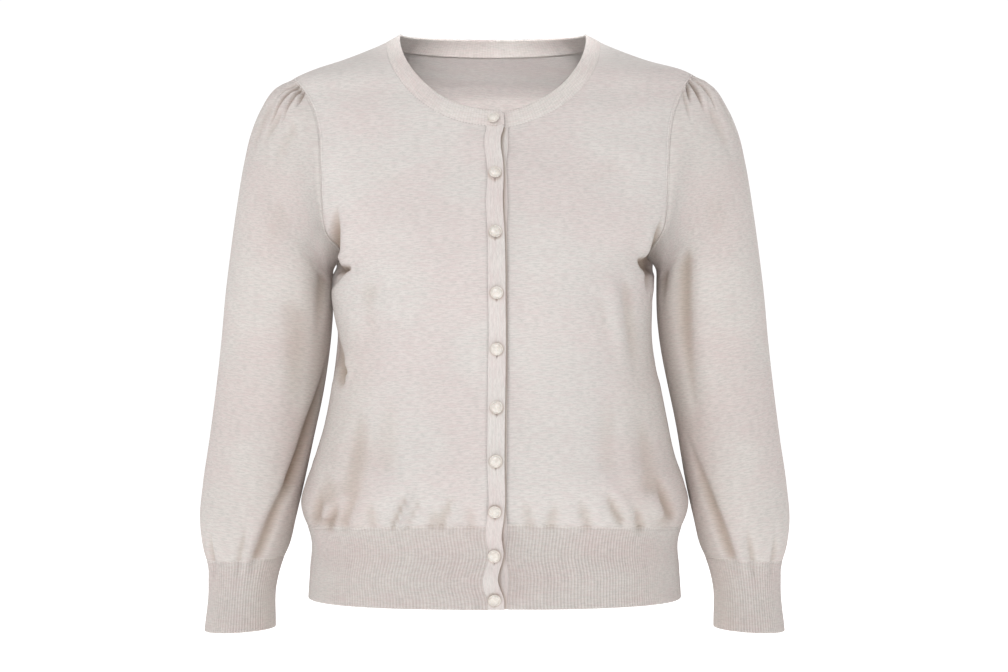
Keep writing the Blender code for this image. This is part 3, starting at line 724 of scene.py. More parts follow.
def front_panel(name, side):
    """One front, from the front band's seam to the side seam, armhole and shoulder seam."""

    def edge_angle(height):
        return angle_at(band_edge(side, height) + EDGE_GAP, height)

    corner = band_edge(side, NECK_CORNER) / NECK_SEAM.half_width
    first_turn = math.degrees(math.asin(corner))
    angles, heights = panel_grid(edge_angle, (first_turn, *NECK_TURNS_FRONT[1:]), False)
    angles = angles * side
    outer, normal = trunk_cloth(angles, heights, side, FRONT_FOLDS)
    point = trunk_point(angles, heights)
    shaded = ARM_SHADE * ease((np.abs(point[..., 0]) - SHADE_OUT) / SHADE_OUT_SPAN)
    shaded = shaded * ease((SHADE_DOWN - point[..., 2]) / SHADE_DOWN_SPAN)
    marks = {
        "from_seam": seam_distance(outer, LOW_ROWS),
        "painted_shade": painted_fold_shade(trunk_sink(angles, point, FRONT_FOLDS)) + shaded,
    }
    place = wale_lengths(angles, heights)
    return knit_shell(name, outer, normal, place, JERSEY_THICK, LINKED_LIPS, **marks)


def back_panel(name):
    """The back, in one piece from side seam to side seam, with the neck cut out at its top."""
    angles, heights = panel_grid(np.zeros_like, NECK_TURNS_BACK, True)
    half = angles.shape[1]
    angles = np.concatenate([180 - angles[:, ::-1], 180 + angles], axis=1)
    heights = np.concatenate([heights[:, ::-1], heights], axis=1)
    outer, normal = trunk_cloth(angles, heights, 0, BACK_FOLDS)
    place = wale_lengths(angles, heights)
    # Painted shade in the back's folds.
    painted_shade = painted_fold_shade(trunk_sink(angles, trunk_point(angles, heights), BACK_FOLDS))
    from_seam = seam_distance(outer[:, half:], LOW_ROWS)
    from_seam = np.concatenate([from_seam[:, ::-1], from_seam], axis=1)
    slit = (half - 1, LOW_ROWS + int((STEPS < FLAT_STEPS).sum()))
    marks = {"slit": slit, "from_seam": from_seam, "painted_shade": painted_shade}
    return knit_shell(name, outer, normal, place, JERSEY_THICK, LINKED_LIPS, **marks)


back = back_panel("back_jersey")
dress(back, jersey, "jersey", "back", flat=(0.52, 0.56), held="hung", area=0.252)
for hand, side, flat, area in (("left", 1, (0.27, 0.56), 0.118), ("right", -1, (0.28, 0.56), 0.122)):
    front = front_panel(f"front_{hand}_jersey", side)
    dress(front, jersey, "jersey", f"front_{hand}", flat=flat, held="hung", area=area)


# ---- The sleeves --------------------------------------------------------------------------------
# Two tubes of the same jersey, each knitted in one piece and linked along the underarm. The sleeve
# head is wider than its armhole and is gathered into it at the shoulder tip, so it stands up
# between short deep tucks. Lower down the sleeve blouses a little over its cuff.

Ring = namedtuple("Ring", "outer_x outer_z inner_x inner_z front back middle")
SLEEVE = [Ring(*row) for row in (
    (217.0, -20, 171.5, -218, 66, 68, 6),
    (238.5, -33, 173.5, -222, 65, 68, 5),
    (253.5, -55, 174.5, -227, 64, 67, 5),
    (263.5, -80, 175.0, -232, 63, 66, 5),
    (270.5, -110, 175.0, -237, 62, 65, 5),
    (279.0, -160, 175.0, -245, 61, 63, 6),
    (286.0, -210, 175.0, -257, 60, 61, 7),
    (291.0, -250, 175.5, -276, 59, 60, 8),
    (296.0, -305, 179.0, -315, 58, 58, 8),
    (302.0, -360, 186.0, -362, 57, 56, 6),
    (308.0, -410, 195.5, -408, 55, 54, 1),
    (314.0, -456, 204.5, -452, 53, 52, -5),
    (316.5, -500, 213.8, -494, 50, 50, -12),
    (313.0, -526, 220.0, -521, 45, 45, -16),
    (307.0, -545, 228.0, -540, 39, 39, -19),
    (305.5, -566, 233.5, -562, 36.5, 36.5, -22),
    (309.0, -611, 234.0, -607, 38, 37, -28),
)]
CUFF_TOP_DOWN = 541.0
SEAM_FADES_BY = 120.0
TRUNK_FOLDS_FADE_BY = 60
MM_A_DEGREE = 1.05
# The head's puff: its height, the turn it reaches, and the ways down over which it grows and fades.
PUFF, PUFF_TURN, PUFF_GROWS, PUFF_FADES_FROM, PUFF_FADES = 0.9, 62, 16, 10, 46
# Painted shade over the whole sleeve, and on the inner arm.
SLEEVE_SHADE, INNER_SHADE = 0.07, 0.2
# The direction along a sleeve's wales, on the left.
SLEEVE_WALES = (-0.13, 0.0, 0.99)

# Folds of the sleeves, by the turn round the ring (0 outside, 90 front, 180 inside, below 0 behind)
# and the way down from the shoulder tip.
SleeveFold = namedtuple("SleeveFold", "turn1 down1 turn2 down2 width depth")
RIGHT_TUCKS = [SleeveFold(*row) for row in (
    (20, -4, 24, 34, 1.5, 4.1),
    (23, -6, 37, 60, 1.6, 9.6),
    (27, -4, 47, 46, 1.5, 9),
    (25, -3, 29, 24, 1.3, 4.8),
    (31, -3, 45, 20, 1.4, 6.6),
    (26, 4, 34, 52, 3, -2.4),
    (33, 4, 46, 54, 3.2, -2.4),
    (38, 30, 42, 84, 4, 2.6),
    (22, 30, 32, 110, 8, 2.4),
    (54, 20, 66, 96, 9, 2),
    (-16, -4, -20, 52, 1.5, 3.8),
    (-24, -6, -40, 74, 1.6, 7.6),
    (-33, -4, -54, 36, 1.5, 3.4),
    (-30, 6, -44, 60, 3.6, -2.2),
    (-28, 34, -34, 116, 8, 2.2),
    (4, -3, 4, 36, 1.8, 2.4),
)]
LEFT_TUCKS = [SleeveFold(*row) for row in (
    (14, -4, 31, 46, 1.5, 7.2),
    (18, -5, 42, 34, 1.6, 11.4),
    (23, -3, 45, 18, 1.4, 7.2),
    (11, -3, 18, 32, 1.4, 4.1),
    (32, -2, 58, 28, 2, 3),
    (24, 6, 42, 48, 3.2, -2.4),
    (12, 4, 22, 52, 3.8, -2),
    (34, 26, 44, 104, 8, 2.4),
    (12, 26, 18, 104, 8, 2),
    (-17, -4, -22, 56, 1.5, 3.9),
    (-25, -5, -42, 68, 1.6, 7.6),
    (-35, -4, -58, 34, 1.5, 3.4),
    (-31, 6, -46, 58, 3.6, -2.2),
    (-30, 30, -38, 110, 8, 2),
)]
RIGHT_SLEEVE_FOLDS = [SleeveFold(*row) for row in (
    (140, 480, 178, 290, 11, 8.0),
    (106, 556, 156, 410, 9, 7.0),
    (88, 556, 134, 440, 8, -3.0),
    (84, 560, 98, 488, 6, 4.2),
    (38, 560, 46, 494, 7, 3.4),
    (4, 560, 8, 488, 8, 3.4),
    (150, 120, 142, 320, 11, 4.0),
    (124, 130, 112, 300, 14, -1.8),
    (92, 80, 66, 230, 20, 1.8),
    (110, 220, 128, 430, 18, 3.0),
    (-124, 540, -152, 340, 12, 6.0),
    (-142, 370, -116, 230, 16, 4.0),
    (-48, 556, -62, 470, 8, 3.8),
    (-96, 556, -102, 484, 8, 4.0),
    (-114, 100, -86, 240, 20, 2.6),
)]
LEFT_SLEEVE_FOLDS = [SleeveFold(*row) for row in (
    (117, 110, 132, 430, 11, 6.4),
    (99, 130, 112, 420, 13, -2.2),
    (108, 556, 154, 390, 10, 7.0),
    (90, 556, 138, 440, 8, -2.8),
    (80, 560, 92, 490, 6, 4.0),
    (46, 560, 52, 492, 7, 3.2),
    (12, 560, 10, 488, 8, 3.4),
    (152, 100, 158, 260, 9, 3.6),
    (84, 80, 64, 220, 20, 1.7),
    (-122, 540, -150, 320, 12, 6.0),
    (-140, 350, -112, 220, 16, 4.0),
    (-52, 556, -66, 474, 8, 3.8),
    (-100, 556, -106, 488, 8, 3.8),
    (-112, 110, -88, 246, 20, 2.6),
)]

# The way down the outside of the sleeve to each ring, and a smooth curve along it for each column.
outside = np.array([(ring.outer_x, ring.outer_z) for ring in SLEEVE])
SLEEVE_DOWN = np.append(0.0, np.cumsum(np.hypot(*np.diff(outside, axis=0).T)))
columns = zip(Ring._fields, zip(*SLEEVE))
SLEEVE_AT = {name: smooth_curve(SLEEVE_DOWN, column) for name, column in columns}
SLEEVE_END = SLEEVE_DOWN[-1]


def plain_ring(turn, down):
    """A point of the sleeve's ring, before the first rings are fitted to the armhole seam."""
    a = np.radians(turn)
    out, forward = (1 + np.cos(a)) / 2, np.sin(a)
    x = SLEEVE_AT["inner_x"](down) * (1 - out) + SLEEVE_AT["outer_x"](down) * out
    z = SLEEVE_AT["inner_z"](down) * (1 - out) + SLEEVE_AT["outer_z"](down) * out
    depth = np.where(forward > 0, SLEEVE_AT["front"](down), SLEEVE_AT["back"](down))
    return np.stack([x, SLEEVE_AT["middle"](down) - depth * forward, z], axis=-1)


def sleeve_point(turn, down):
    """A point of the left sleeve, by its turn and the way down."""
    turn, down = np.broadcast_arrays(np.asarray(turn, float), np.asarray(down, float))
    angle, height = armhole_place(turn)
    off_seam = trunk_point(angle, height) - plain_ring(turn, np.zeros_like(down))
    return plain_ring(turn, down) + off_seam * (1 - ease(down / SEAM_FADES_BY))[..., None]


def sleeve_normal(turn, down):
    round_it = sleeve_point(turn + 0.6, down) - sleeve_point(turn - 0.6, down)
    along = sleeve_point(turn, down + 0.8) - sleeve_point(turn, np.maximum(down - 0.8, 0))
    return unit(np.cross(round_it, along))


def head_trunk_sink(turn, side):
    """How far the trunk's own folds sink the armhole seam, and which way is out there."""
    angle, height = armhole_place(turn)
    point = trunk_point(angle * side, height)
    front = trunk_sink(angle * side, point, FRONT_FOLDS)
    behind = trunk_sink(angle * side, point, BACK_FOLDS)
    return np.where(np.sin(np.radians(turn)) >= 0, front, behind), trunk_normal(angle, height)


def sleeve_sink(turn, down, folds):
    """How far the folds sink the sleeve. They are shallower right at the seam."""
    flat = [Fold(f[0] * MM_A_DEGREE, f[1], f[2] * MM_A_DEGREE, *f[3:]) for f in folds]
    return fold_depth(turn * MM_A_DEGREE, down, flat) * (0.25 + 0.75 * ease(down / 3.5))


def sleeve_cloth(turn, down, side, folds):
    """Outer points of a sleeve with its folds, and their outward directions, on either side."""
    point, normal = sleeve_point(turn, down), sleeve_normal(turn, down)
    puff = PUFF * np.exp(-((turn / PUFF_TURN) ** 2)) * ease(down / PUFF_GROWS)
    puff = puff * (1 - ease((down - PUFF_FADES_FROM) / PUFF_FADES))
    point = point + normal * (puff - sleeve_sink(turn, down, folds))[..., None]
    sunk, seam_normal = head_trunk_sink(turn, side)
    point = point - seam_normal * (sunk * (1 - ease(down / TRUNK_FOLDS_FADE_BY)))[..., None]
    flip = np.array([side, 1.0, 1.0])
    return point * flip, normal * flip


# Turns from -180 to 180 and ways down, closely spaced at the tucks and over the cuff.
half_round = np.concatenate(
    [np.linspace(0, 9, 5)[:-1], np.arange(9, 60, 0.8), np.arange(60, 180, 3.2)]
)
SLEEVE_TURNS = np.concatenate([[-180.0], -half_round[:0:-1], half_round])
SLEEVE_STEPS = ((0, 56, 1.4), (56, 120, 3.2), (120, 480, 6.0), (480, 540, 2.4))
SLEEVE_ROWS = np.concatenate([np.arange(*span) for span in SLEEVE_STEPS])


def sleeve(name, side, folds):
    """A sleeve from the armhole seam to the cuff seam."""
    down = np.append(SLEEVE_ROWS, CUFF_TOP_DOWN - EDGE_GAP)[:, None]
    turn = SLEEVE_TURNS[None, :]
    outer, normal = sleeve_cloth(turn, down, side, folds)
    outer, normal = outer[::-1], normal[::-1]
    girth = spacing(np.append(outer, outer[:, :1], axis=1), 1).sum(axis=1)
    wales = np.array(SLEEVE_WALES) * (side, 1, 1)
    place = (turn / 360 * girth[:, None] * MM, (outer @ wales) * MM)
    from_seam = np.cumsum(spacing(outer, 0)[::-1], axis=0)[::-1]
    from_seam = np.pad(from_seam, ((0, 1), (0, 0))) * MM
    # Painted shade on the inner arm, in the folds and a little over the whole sleeve.
    inner_arm = INNER_SHADE * ease((np.abs(turn) - 96) / 70) * ease((down - 60) / 120)
    painted_shade = (painted_fold_shade(sleeve_sink(turn, down, folds)) + inner_arm + SLEEVE_SHADE)[::-1]
    marks = {"ring": True, "from_seam": from_seam, "painted_shade": painted_shade}
    return knit_shell(name, outer, normal, place, JERSEY_THICK, LINKED_LIPS, **marks)


for hand, side, tucks, folds in (
    ("left", 1, LEFT_TUCKS, LEFT_SLEEVE_FOLDS),
    ("right", -1, RIGHT_TUCKS, RIGHT_SLEEVE_FOLDS),
):
    arm = sleeve(f"sleeve_{hand}_jersey", side, tucks + folds)
    dress(arm, jersey, "jersey", f"sleeve_{hand}", flat=(0.42, 0.56), held="hung", area=0.178)


# ---- The hem rib --------------------------------------------------------------------------------
# A deep band of one-by-one rib in the same yarn, in three stretches linked at the side seams, with
# the front bands crossing it. Its ribs pull the hem in, and its last course is a rounded edge.

RIB_THICK = 2.2
RIB_PITCH = 3.05
RIB_RELIEF = 0.55
HEM_END, HEM_MIDDLE = -576.0, -530.0
RIB_COLUMNS = 6
RIB_LIPS = (1.0, 0.6)
EDGE_ROLL = 6
# The rib's knit is painted darker all over, as its furrows hold less light.
rib_knit = melange_knit("melange_rib", 0.88, 0.00012, 0.75, seam_marks=True)


def rib_wave(distance):
    """The height of the ribs across a strip, with rounded crests and narrower furrows."""
    wave = np.cos(math.tau * distance / RIB_PITCH)
    return RIB_RELIEF * (wave + 0.25 * np.cos(2 * math.tau * distance / RIB_PITCH + math.pi))


def rib_furrow_shade(wave):
    """How much painted shade the rib gets in its furrows at each height of its wave."""
    return 0.2 * np.clip(0.5 - wave / RIB_RELIEF / 2, 0, 1)


def rib_rows(end, seam):
    """Places up a rib from its free edge to its seam, closer together where the edge rolls."""
    rolled = end + math.copysign(EDGE_ROLL, seam - end)
    return np.append(np.linspace(end, rolled, 4)[:-1], np.linspace(rolled, seam, 14))[:, None]


def rib_strip(name, start, end, side, folds):
    """A stretch of the hem rib between two trunk angles, given as functions of the height."""
    height = rib_rows(HEM_END, HEM_RIB_TOP - EDGE_GAP)
    ends = [float(angle_of(HEM_MIDDLE)) for angle_of in (start, end)]
    probe = trunk_point(np.linspace(*ends, 200), HEM_MIDDLE)
    length = spacing(probe, 0).sum()
    ribs = round(length / RIB_PITCH)
    share = np.linspace(0, 1, ribs * RIB_COLUMNS + 1)
    angle = start(height) + (end(height) - start(height)) * share
    level = np.broadcast_to(height, angle.shape)
    outer, normal = trunk_cloth(angle, level, side, folds)
    wave = rib_wave(share * ribs * RIB_PITCH)[None, :]
    outer = outer + normal * (wave * ease((HEM_RIB_TOP - height) / 3))[..., None]
    place = (share * length * MM, wale_lengths(angle, level)[1])
    # Painted shade in the rib's furrows and in the folds.
    painted_shade = rib_furrow_shade(wave) + painted_fold_shade(trunk_sink(angle, trunk_point(angle, level), folds))
    marks = {"from_seam": (HEM_RIB_TOP - height) * MM, "painted_shade": painted_shade}
    return knit_shell(name, outer, normal, place, RIB_THICK, RIB_LIPS, **marks)


def fixed(value):
    """The same value at every height."""
    return lambda height: height * 0 + value


def band_seam(side):
    """The trunk angle at which a front's rib ends by the front bands, at each height."""
    return lambda height: side * angle_at(band_edge(side, height) + EDGE_GAP, height)


HEM_FOLDS = [Fold(*row) for row in (
    (-120, -505, -110, -575, 26, -1.2),
    (-50, -505, -46, -575, 26, 1.1),
    (60, -505, 66, -575, 26, 1.1),
    (130, -505, 124, -575, 26, -1.2),
)]
for name, node, start, end, side, folds, width, area in (
    ("back", "back", fixed(90.16), fixed(269.84), 0, BACK_FOLDS, 0.56, 0.046),
    ("left", "front_left", band_seam(1), fixed(89.84), 1, FRONT_FOLDS, 0.28, 0.0235),
    ("right", "front_right", fixed(-89.84), band_seam(-1), -1, FRONT_FOLDS, 0.28, 0.0235),
):
    rib = rib_strip(f"hem_rib_{name}_knit", start, end, side, folds + HEM_FOLDS)
    dress(rib, rib_knit, "rib", f"hem_rib_{node}", flat=(width, 0.086), held="stretched", area=area)


# ---- The cuffs ----------------------------------------------------------------------------------
# A tube of the same rib at the end of each sleeve, which draws the sleeve in at the wrist and
# flares a little at its edge. The underarm seam runs on down it.

CUFF_RIBS = 78
CUFF_SHADE = 0.16


def cuff(name, side, folds):
    """A cuff from its free edge up to the sleeve, with painted shade in its rib furrows and on the
    inner arm.
    """
    down = rib_rows(SLEEVE_END, CUFF_TOP_DOWN + EDGE_GAP)
    turn = np.linspace(-180, 180, CUFF_RIBS * RIB_COLUMNS, endpoint=False)[None, :]
    outer, normal = sleeve_cloth(turn, down, side, folds)
    share = (turn + 180) / 360
    wave = rib_wave(share * CUFF_RIBS * RIB_PITCH)
    outer = outer + normal * (wave * ease((down - CUFF_TOP_DOWN) / 3))[..., None]
    place = (share * CUFF_RIBS * RIB_PITCH * MM, (SLEEVE_END - down) * MM)
    painted_shade = rib_furrow_shade(wave) + CUFF_SHADE * ease((np.abs(turn) - 90) / 60)
    marks = {"ring": True, "from_seam": (down - CUFF_TOP_DOWN) * MM, "painted_shade": painted_shade}
    return knit_shell(name, outer, normal, place, RIB_THICK, RIB_LIPS, **marks)


for hand, side, folds in (("left", 1, LEFT_SLEEVE_FOLDS), ("right", -1, RIGHT_SLEEVE_FOLDS)):
    tube = cuff(f"cuff_{hand}_knit", side, folds)
    dress(tube, rib_knit, "rib", f"cuff_{hand}", flat=(0.24, 0.074), held="stretched")


# ---- The neckband -------------------------------------------------------------------------------
# One narrow strip of rib, linked to the neck edge all round with its wales standing across it. Its
# right end is rounded off and buttons over its left end at the top of the front bands.

NECK_FREE = NeckEdge(101.5, 27.6, 91.6, -3.4, 1.85)
NECKBAND_RIBS = 192
NECK_RELIEF, NECK_CROWN = 0.16, 0.35
# Where the strip starts and ends across the centre front, and where its end starts to round off.
NECK_START, NECK_END, ROUNDED_FROM = -4.0, 10.6, 5.0


def neckband(name):
    """The neckband, from its left end under the lap round the neck to its right end."""

    def turn_at(x):
        return math.degrees(math.asin(x / NECK_SEAM.half_width))

    last, bend = turn_at(NECK_END), turn_at(ROUNDED_FROM)
    turns = np.linspace(turn_at(NECK_START), 360 + last, NECKBAND_RIBS * RIB_COLUMNS)
    width = np.linspace(0, 1, 13)[:, None]
    seam, free = neck_edge(NECK_SEAM, turns), neck_edge(NECK_FREE, turns)
    rounding = ease((turns - 360 - bend) / (last - bend))
    # The strip goes on a little under the seam, further at the back.
    tucked = 0.06 + 0.09 * ease(-np.cos(np.radians(turns)) / 0.4)
    width = width * (1 + tucked) - tucked
    share = width * (1 - 0.34 * rounding**2) + 0.10 * rounding**2
    x, height = (seam[i] + (free[i] - seam[i]) * share for i in (0, 1))
    front = angle_at(np.abs(x), height)
    facing = np.cos(np.radians(turns)) > 0
    angle = np.where(x < 0, -1, 1) * np.where(facing, front, 180 - front)
    side = np.where(facing, np.where(turns < 180, 1, -1), 0)
    outer, normal = trunk_cloth(angle, height, side, [])
    length = np.append(0, np.cumsum(spacing(outer[6], 0)))
    ribs = np.cos(math.tau * length / RIB_PITCH) * NECK_RELIEF
    outer = outer + normal * (ribs + NECK_CROWN * np.sin(math.pi * width))[..., None]
    across = spacing(outer, 0).sum(axis=0).mean()
    place = (length * MM, width * across * MM)
    # Painted shade in the furrows between the neckband's ribs.
    painted_shade = 0.05 * (1 - ribs / NECK_RELIEF)
    return knit_shell(name, outer, normal, place, RIB_THICK, (0.4, 1.0), painted_shade=painted_shade)


neck_knit = melange_knit("melange_neckband", 1.01, 0.00014, 0.8)
collar = neckband("neckband_knit")
dress(collar, neck_knit, "rib", "neckband", flat=(0.62, 0.018), held="stretched")


# ---- The front bands ----------------------------------------------------------------------------
# Two doubled strips of close rib knitted lengthwise and linked down the front edges. The right one
# has an upright buttonhole for each button, and laps over the left. The pull of the buttons makes
# both waver, most in the gaps at the hem and below the neck, where they bow apart.

BAND_COLUMNS, BAND_ROWS = 27, 400
BAND_TOP = -79.0
UNDER_BAND_EDGE = -4.0
BUTTON_X = (-0.6, 0.6, 1.0, 2.4, 2.8, 2.6, 1.6, 0.8, 0.2, 0.2)
BUTTON_HEIGHTS = (-73, -131, -192, -254, -311, -371, -425, -475, -522, -566)
SLIT_UP, SLIT_DOWN = 3.0, 8.6
# A buttonhole's cut and its stitched edge, and the painted shadow round a button: amount, place and
# width.
SLIT_CUT, SLIT_EDGE, BUTTON_SHADE = (1.5, 0.0, 0.55), (0.35, 1.5, 0.6), (0.5, 6.2, 1.2)
BUTTON_SHADE_DROP = 0.7


def hump(away, amount, place, width):
    """A soft rise of that amount and width, at one distance away."""
    return amount * np.exp(-(((away - place) / width) ** 2))


def button_slit(x, z):
    """How far the stitched edges of the buttonholes raise the band, less what their cuts sink it."""
    lift = np.zeros(x.shape)
    for hole_x, hole_z in zip(BUTTON_X[1:], BUTTON_HEIGHTS[1:]):
        along = np.clip(z, hole_z - SLIT_DOWN, hole_z + SLIT_UP)
        away = np.hypot(x - hole_x, z - along)
        lift += hump(away, *SLIT_EDGE) - hump(away, *SLIT_CUT)
    return lift


def painted_button_shadow(x, z):
    """How much painted shadow the cloth gets in the narrow gap under each button's edge."""
    lower = z + BUTTON_SHADE_DROP
    centres = zip(BUTTON_X, BUTTON_HEIGHTS)
    return sum(hump(np.hypot(x - at_x, lower - at_z), *BUTTON_SHADE) for at_x, at_z in centres)


def front_band(name, left, right, side, slits):
    """A band down the front. left and right give its edges' distance from the centre at a height."""
    height = np.linspace(HEM_END - 0.6, BAND_TOP, BAND_ROWS)
    share = np.linspace(0, 1, BAND_COLUMNS)
    x = left(height)[:, None] + (right(height) - left(height))[:, None] * share
    top = neck_edge(NECK_SEAM, np.degrees(np.arcsin(x / NECK_SEAM.half_width)), 0.4)[1]
    level = np.minimum(height[:, None], top)
    angle = np.sign(x) * angle_at(np.abs(x), level)
    point, normal = trunk_point(angle, level), trunk_normal(angle, level)
    rise = BAND_AT["over_rise"](level) if side < 0 else -BAND_AT["under_sink"](level)
    groove = 0.12 * np.cos(share * 5 * math.tau) - hump(share, 0.16, 0.56, 0.05)
    lift = rise + groove + 0.4 * np.sin(math.pi * share)
    if slits:
        lift = lift + button_slit(x, level)
        # Painted shadow under each button.
        shaded = painted_button_shadow(x, level)
    else:
        lift = lift - 0.2
        # The button band is painted darker along the over band's edge, as its shadow.
        shaded = hump(x, 0.9, BAND_AT["over_right"](level), 2.6)
    outer = np.swapaxes(point + normal * lift[..., None], 0, 1)
    normal = np.swapaxes(normal, 0, 1)
    place = (level.T * MM, x.T * MM)
    return knit_shell(name, outer, normal, place, RIB_THICK, (0.8, 0.8), painted_shade=shaded.T)


band_knit = melange_knit("melange_band", 1.0, 0.00016, 0.55)
for name, left, right, side, slits, width in (
    ("button_band", fixed(UNDER_BAND_EDGE), BAND_AT["under_right"], 1, False, 0.0185),
    ("buttonhole_band", BAND_AT["over_left"], BAND_AT["over_right"], -1, True, 0.0175),
):
    band = front_band(f"{name}_knit", left, right, side, slits)
    dress(band, band_knit, "rib", name, flat=(width, 0.505), held="stretched")


# ---- The buttons --------------------------------------------------------------------------------
# Ten low domes of cast pearly resin with a thin rolled rim, each on a shank sewn to the button band
# and pushed through its buttonhole. They stay done up, and each tips a little its own way.

ButtonRing = namedtuple("ButtonRing", "radius height")
BUTTON = [ButtonRing(*row) for row in (
    (0.0, 4.3),
    (1.3, 4.24),
    (2.6, 4.02),
    (3.8, 3.62),
    (4.6, 3.2),
    (5.05, 2.8),
    (5.25, 2.4),
    (5.5, 2.45),
    (5.8, 2.85),
    (6.15, 3.0),
    (6.45, 2.8),
    (6.5, 2.3),
    (6.35, 1.7),
    (5.9, 1.1),
    (4.2, 0.8),
    (1.5, 0.6),
    (1.2, 0.0),
    (1.2, -2.6),
    (0.0, -2.7),
)]
BUTTON_SIDES = 48
# The height above which a button's rings tip, and the least radius of a ring before it closes.
SHANK_TOP, LEAST_RADIUS = 0.5, 0.02
# How far each button tips up (below 0, down) and to the wearer's left, in degrees.
TIPS = (
    *((24, -14), (10, 6), (6, 8), (-4, 4), (-6, -4)),
    *((4, -6), (-8, 2), (-6, -3), (-12, -6), (-24, 5)),
)
PEARL, PEARL_VEIL = (0.76, 0.712, 0.66, 1.0), (0.61, 0.56, 0.505, 1.0)
RESIN_SURFACE = {
    "Specular IOR Level": 0.6,
    "Coat Weight": 0.35,
    "Coat Roughness": 0.12,
    "Subsurface Weight": 0.15,
    "Subsurface Radius": (0.003, 0.002, 0.0015),
}


def pearl_resin():
    """Cream resin with soft darker veils in it, under a clear gloss."""
    material, resin = add_material("pearl_resin")
    place = add_node("ShaderNodeTexCoord", {}, resin).outputs["Object"]
    inputs = {"Vector": place, "Scale": 260.0, "Detail": 3.0, "Distortion": 1.6}
    veils = add_node("ShaderNodeTexNoise", inputs).outputs["Fac"]
    share = between(veils, 0.35, 0.68)
    made = {"Base Color": mixed(share, PEARL, PEARL_VEIL), "Roughness": times(share, 0.12, 0.2)}
    set_inputs(resin, RESIN_SURFACE | made)
    return material


def button(name, x, height, tip_up, tip_left):
    """One button, turned from its rings and set on the buttonhole band."""
    at = np.array([float(height)])
    angle = math.copysign(1, x) * angle_at(np.array([abs(x)]), at)
    foot, out = trunk_point(angle, at)[0], trunk_normal(angle, at)[0]
    foot = foot + out * BAND_AT["over_rise"](at)[0]
    facing = unit(out + np.tan(np.radians([tip_left, 0, tip_up])))
    right = unit(np.cross((0, 0, 1), facing)) * -1
    up = np.cross(facing, right) * -1
    turn = np.radians(np.arange(BUTTON_SIDES) * 360 / BUTTON_SIDES)[:, None]
    spoke = right * np.cos(turn) + up * np.sin(turn)
    rings = []
    for ring in BUTTON:
        lean = facing if ring.height > SHANK_TOP else out
        rings.append(foot + max(ring.radius, LEAST_RADIUS) * spoke + lean * ring.height)
    faces = []
    for i in range(len(BUTTON) - 1):
        near, far = i * BUTTON_SIDES, (i + 1) * BUTTON_SIDES
        for j in range(BUTTON_SIDES):
            k = (j + 1) % BUTTON_SIDES
            faces.append([near + j, near + k, far + k, far + j])
    mesh = bpy.data.meshes.new(name)
    mesh.from_pydata((np.concatenate(rings) * MM).tolist(), [], faces)
    build = bmesh.new()
    build.from_mesh(mesh)
    bmesh.ops.remove_doubles(build, verts=build.verts, dist=1e-4)
    bmesh.ops.recalc_face_normals(build, faces=build.faces)
    build.to_mesh(mesh)
    build.free()
    mesh.shade_smooth()
    return add_object(name, mesh)


pearl = pearl_resin()
for number, (x, height, tips) in enumerate(zip(BUTTON_X, BUTTON_HEIGHTS, TIPS), 1):
    domed = button(f"button_{number:02d}_pearl", x, height, *tips)
    dress(domed, pearl, "pearl_button", f"button_{number:02d}")


# ---- The studio ---------------------------------------------------------------------------------
# A plain white floor well below the cardigan and soft light from all round. Large soft lamps stand
# in front and behind, and a small one over the front lights the inside of the back neck.

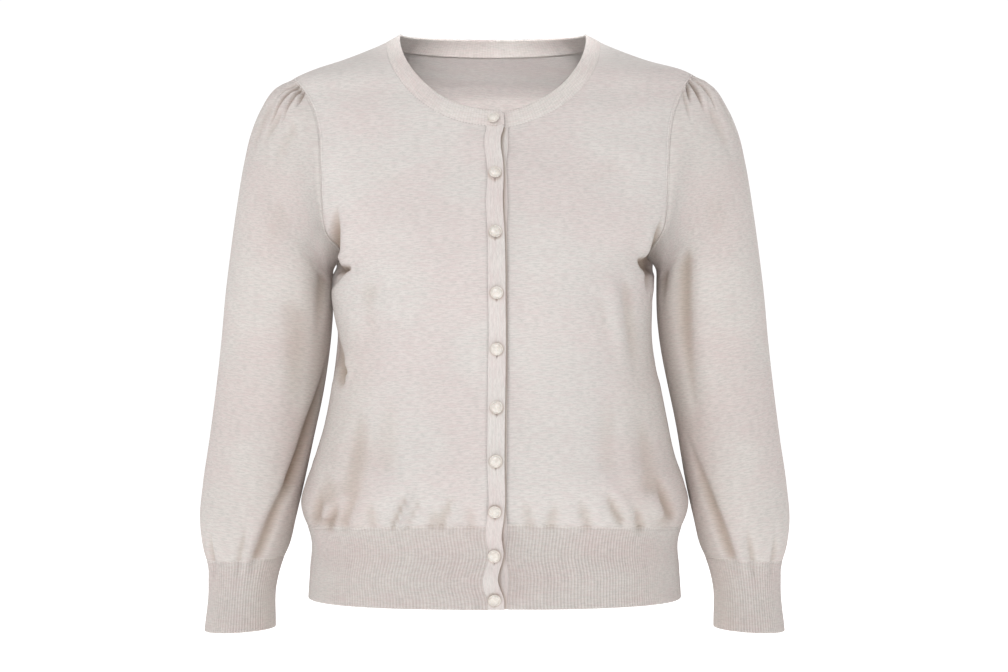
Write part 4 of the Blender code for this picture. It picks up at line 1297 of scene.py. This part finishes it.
FLOOR_HALF, FLOOR_BELOW = 40.0, 0.22
FLOOR_SURFACE = {
    "Base Color": (0.9, 0.9, 0.9, 1.0),
    "Roughness": 1.0,
    "Specular IOR Level": 0.0,
    "Emission Color": WHITE,
    "Emission Strength": 0.55,
}
floor_z = cad_box[0][2] - FLOOR_BELOW
corners = ((-1, -1), (1, -1), (1, 1), (-1, 1))
floor_points = [(x * FLOOR_HALF, y * FLOOR_HALF, floor_z) for x, y in corners]
floor_mesh = bpy.data.meshes.new("floor")
floor_mesh.from_pydata(floor_points, [], [(0, 1, 2, 3)])
floor = add_object("floor", floor_mesh)
white, matt = add_material("white_floor")
set_inputs(matt, FLOOR_SURFACE)
floor_mesh.materials.append(white)

# The air's light on the cardigan, and how much brighter the camera sees it behind.
AIR_LIGHT, AIR_SEEN = 0.60, 0.45
studio = bpy.data.worlds.new("studio")
studio.use_nodes = True
air = studio.node_tree.nodes["Background"]
seen = add_node("ShaderNodeLightPath", {}, air).outputs["Is Camera Ray"]
set_inputs(air, {"Color": WHITE, "Strength": times(seen, AIR_SEEN, AIR_LIGHT)})
bpy.context.scene.world = studio
bpy.context.scene.view_settings.view_transform = "Standard"

Lamp = namedtuple("Lamp", "name x y z aim_y aim_z width height power spread")
LAMPS = [Lamp(*row) for row in (
    ("front_lamp", -0.5, -2.9, 1.3, 0.0, -0.25, 1.4, 1.4, 28.0, 180),
    ("key_lamp", -1.6, -2.2, 1.8, 0.0, -0.25, 1.2, 1.2, 10.0, 180),
    ("back_lamp", 0.8, 2.5, 2.1, 0.0, -0.25, 1.6, 1.6, 34.0, 180),
    ("left_lamp", 3.0, 0.4, 0.8, 0.0, -0.30, 1.2, 1.2, 1.2, 180),
    ("right_lamp", -3.0, 0.4, 0.8, 0.0, -0.30, 1.2, 1.2, 1.2, 180),
    ("neck_lamp", 0.0, -1.15, 0.66, 0.08, -0.012, 0.20, 0.05, 0.058, 5),
)]
for lamp in LAMPS:
    light = bpy.data.lights.new(lamp.name, "AREA")
    light.shape, light.size, light.size_y = "RECTANGLE", lamp.width, lamp.height
    light.energy, light.spread = lamp.power, math.radians(lamp.spread)
    holder = add_object(lamp.name, light)
    holder.location = (lamp.x, lamp.y, lamp.z)
    aim = Vector((0.0, lamp.aim_y, lamp.aim_z)) - holder.location
    holder.rotation_euler = aim.to_track_quat("-Z", "Y").to_euler()

CAMERA_AT = (0.010, -2.419, -0.298)
lens = bpy.data.cameras.new("camera")
lens.lens, lens.sensor_width = 80.0, 36.0
camera = add_object("camera", lens)
camera.location = CAMERA_AT
camera.rotation_euler = (math.pi / 2, 0.0, 0.0)
bpy.context.scene.camera = camera
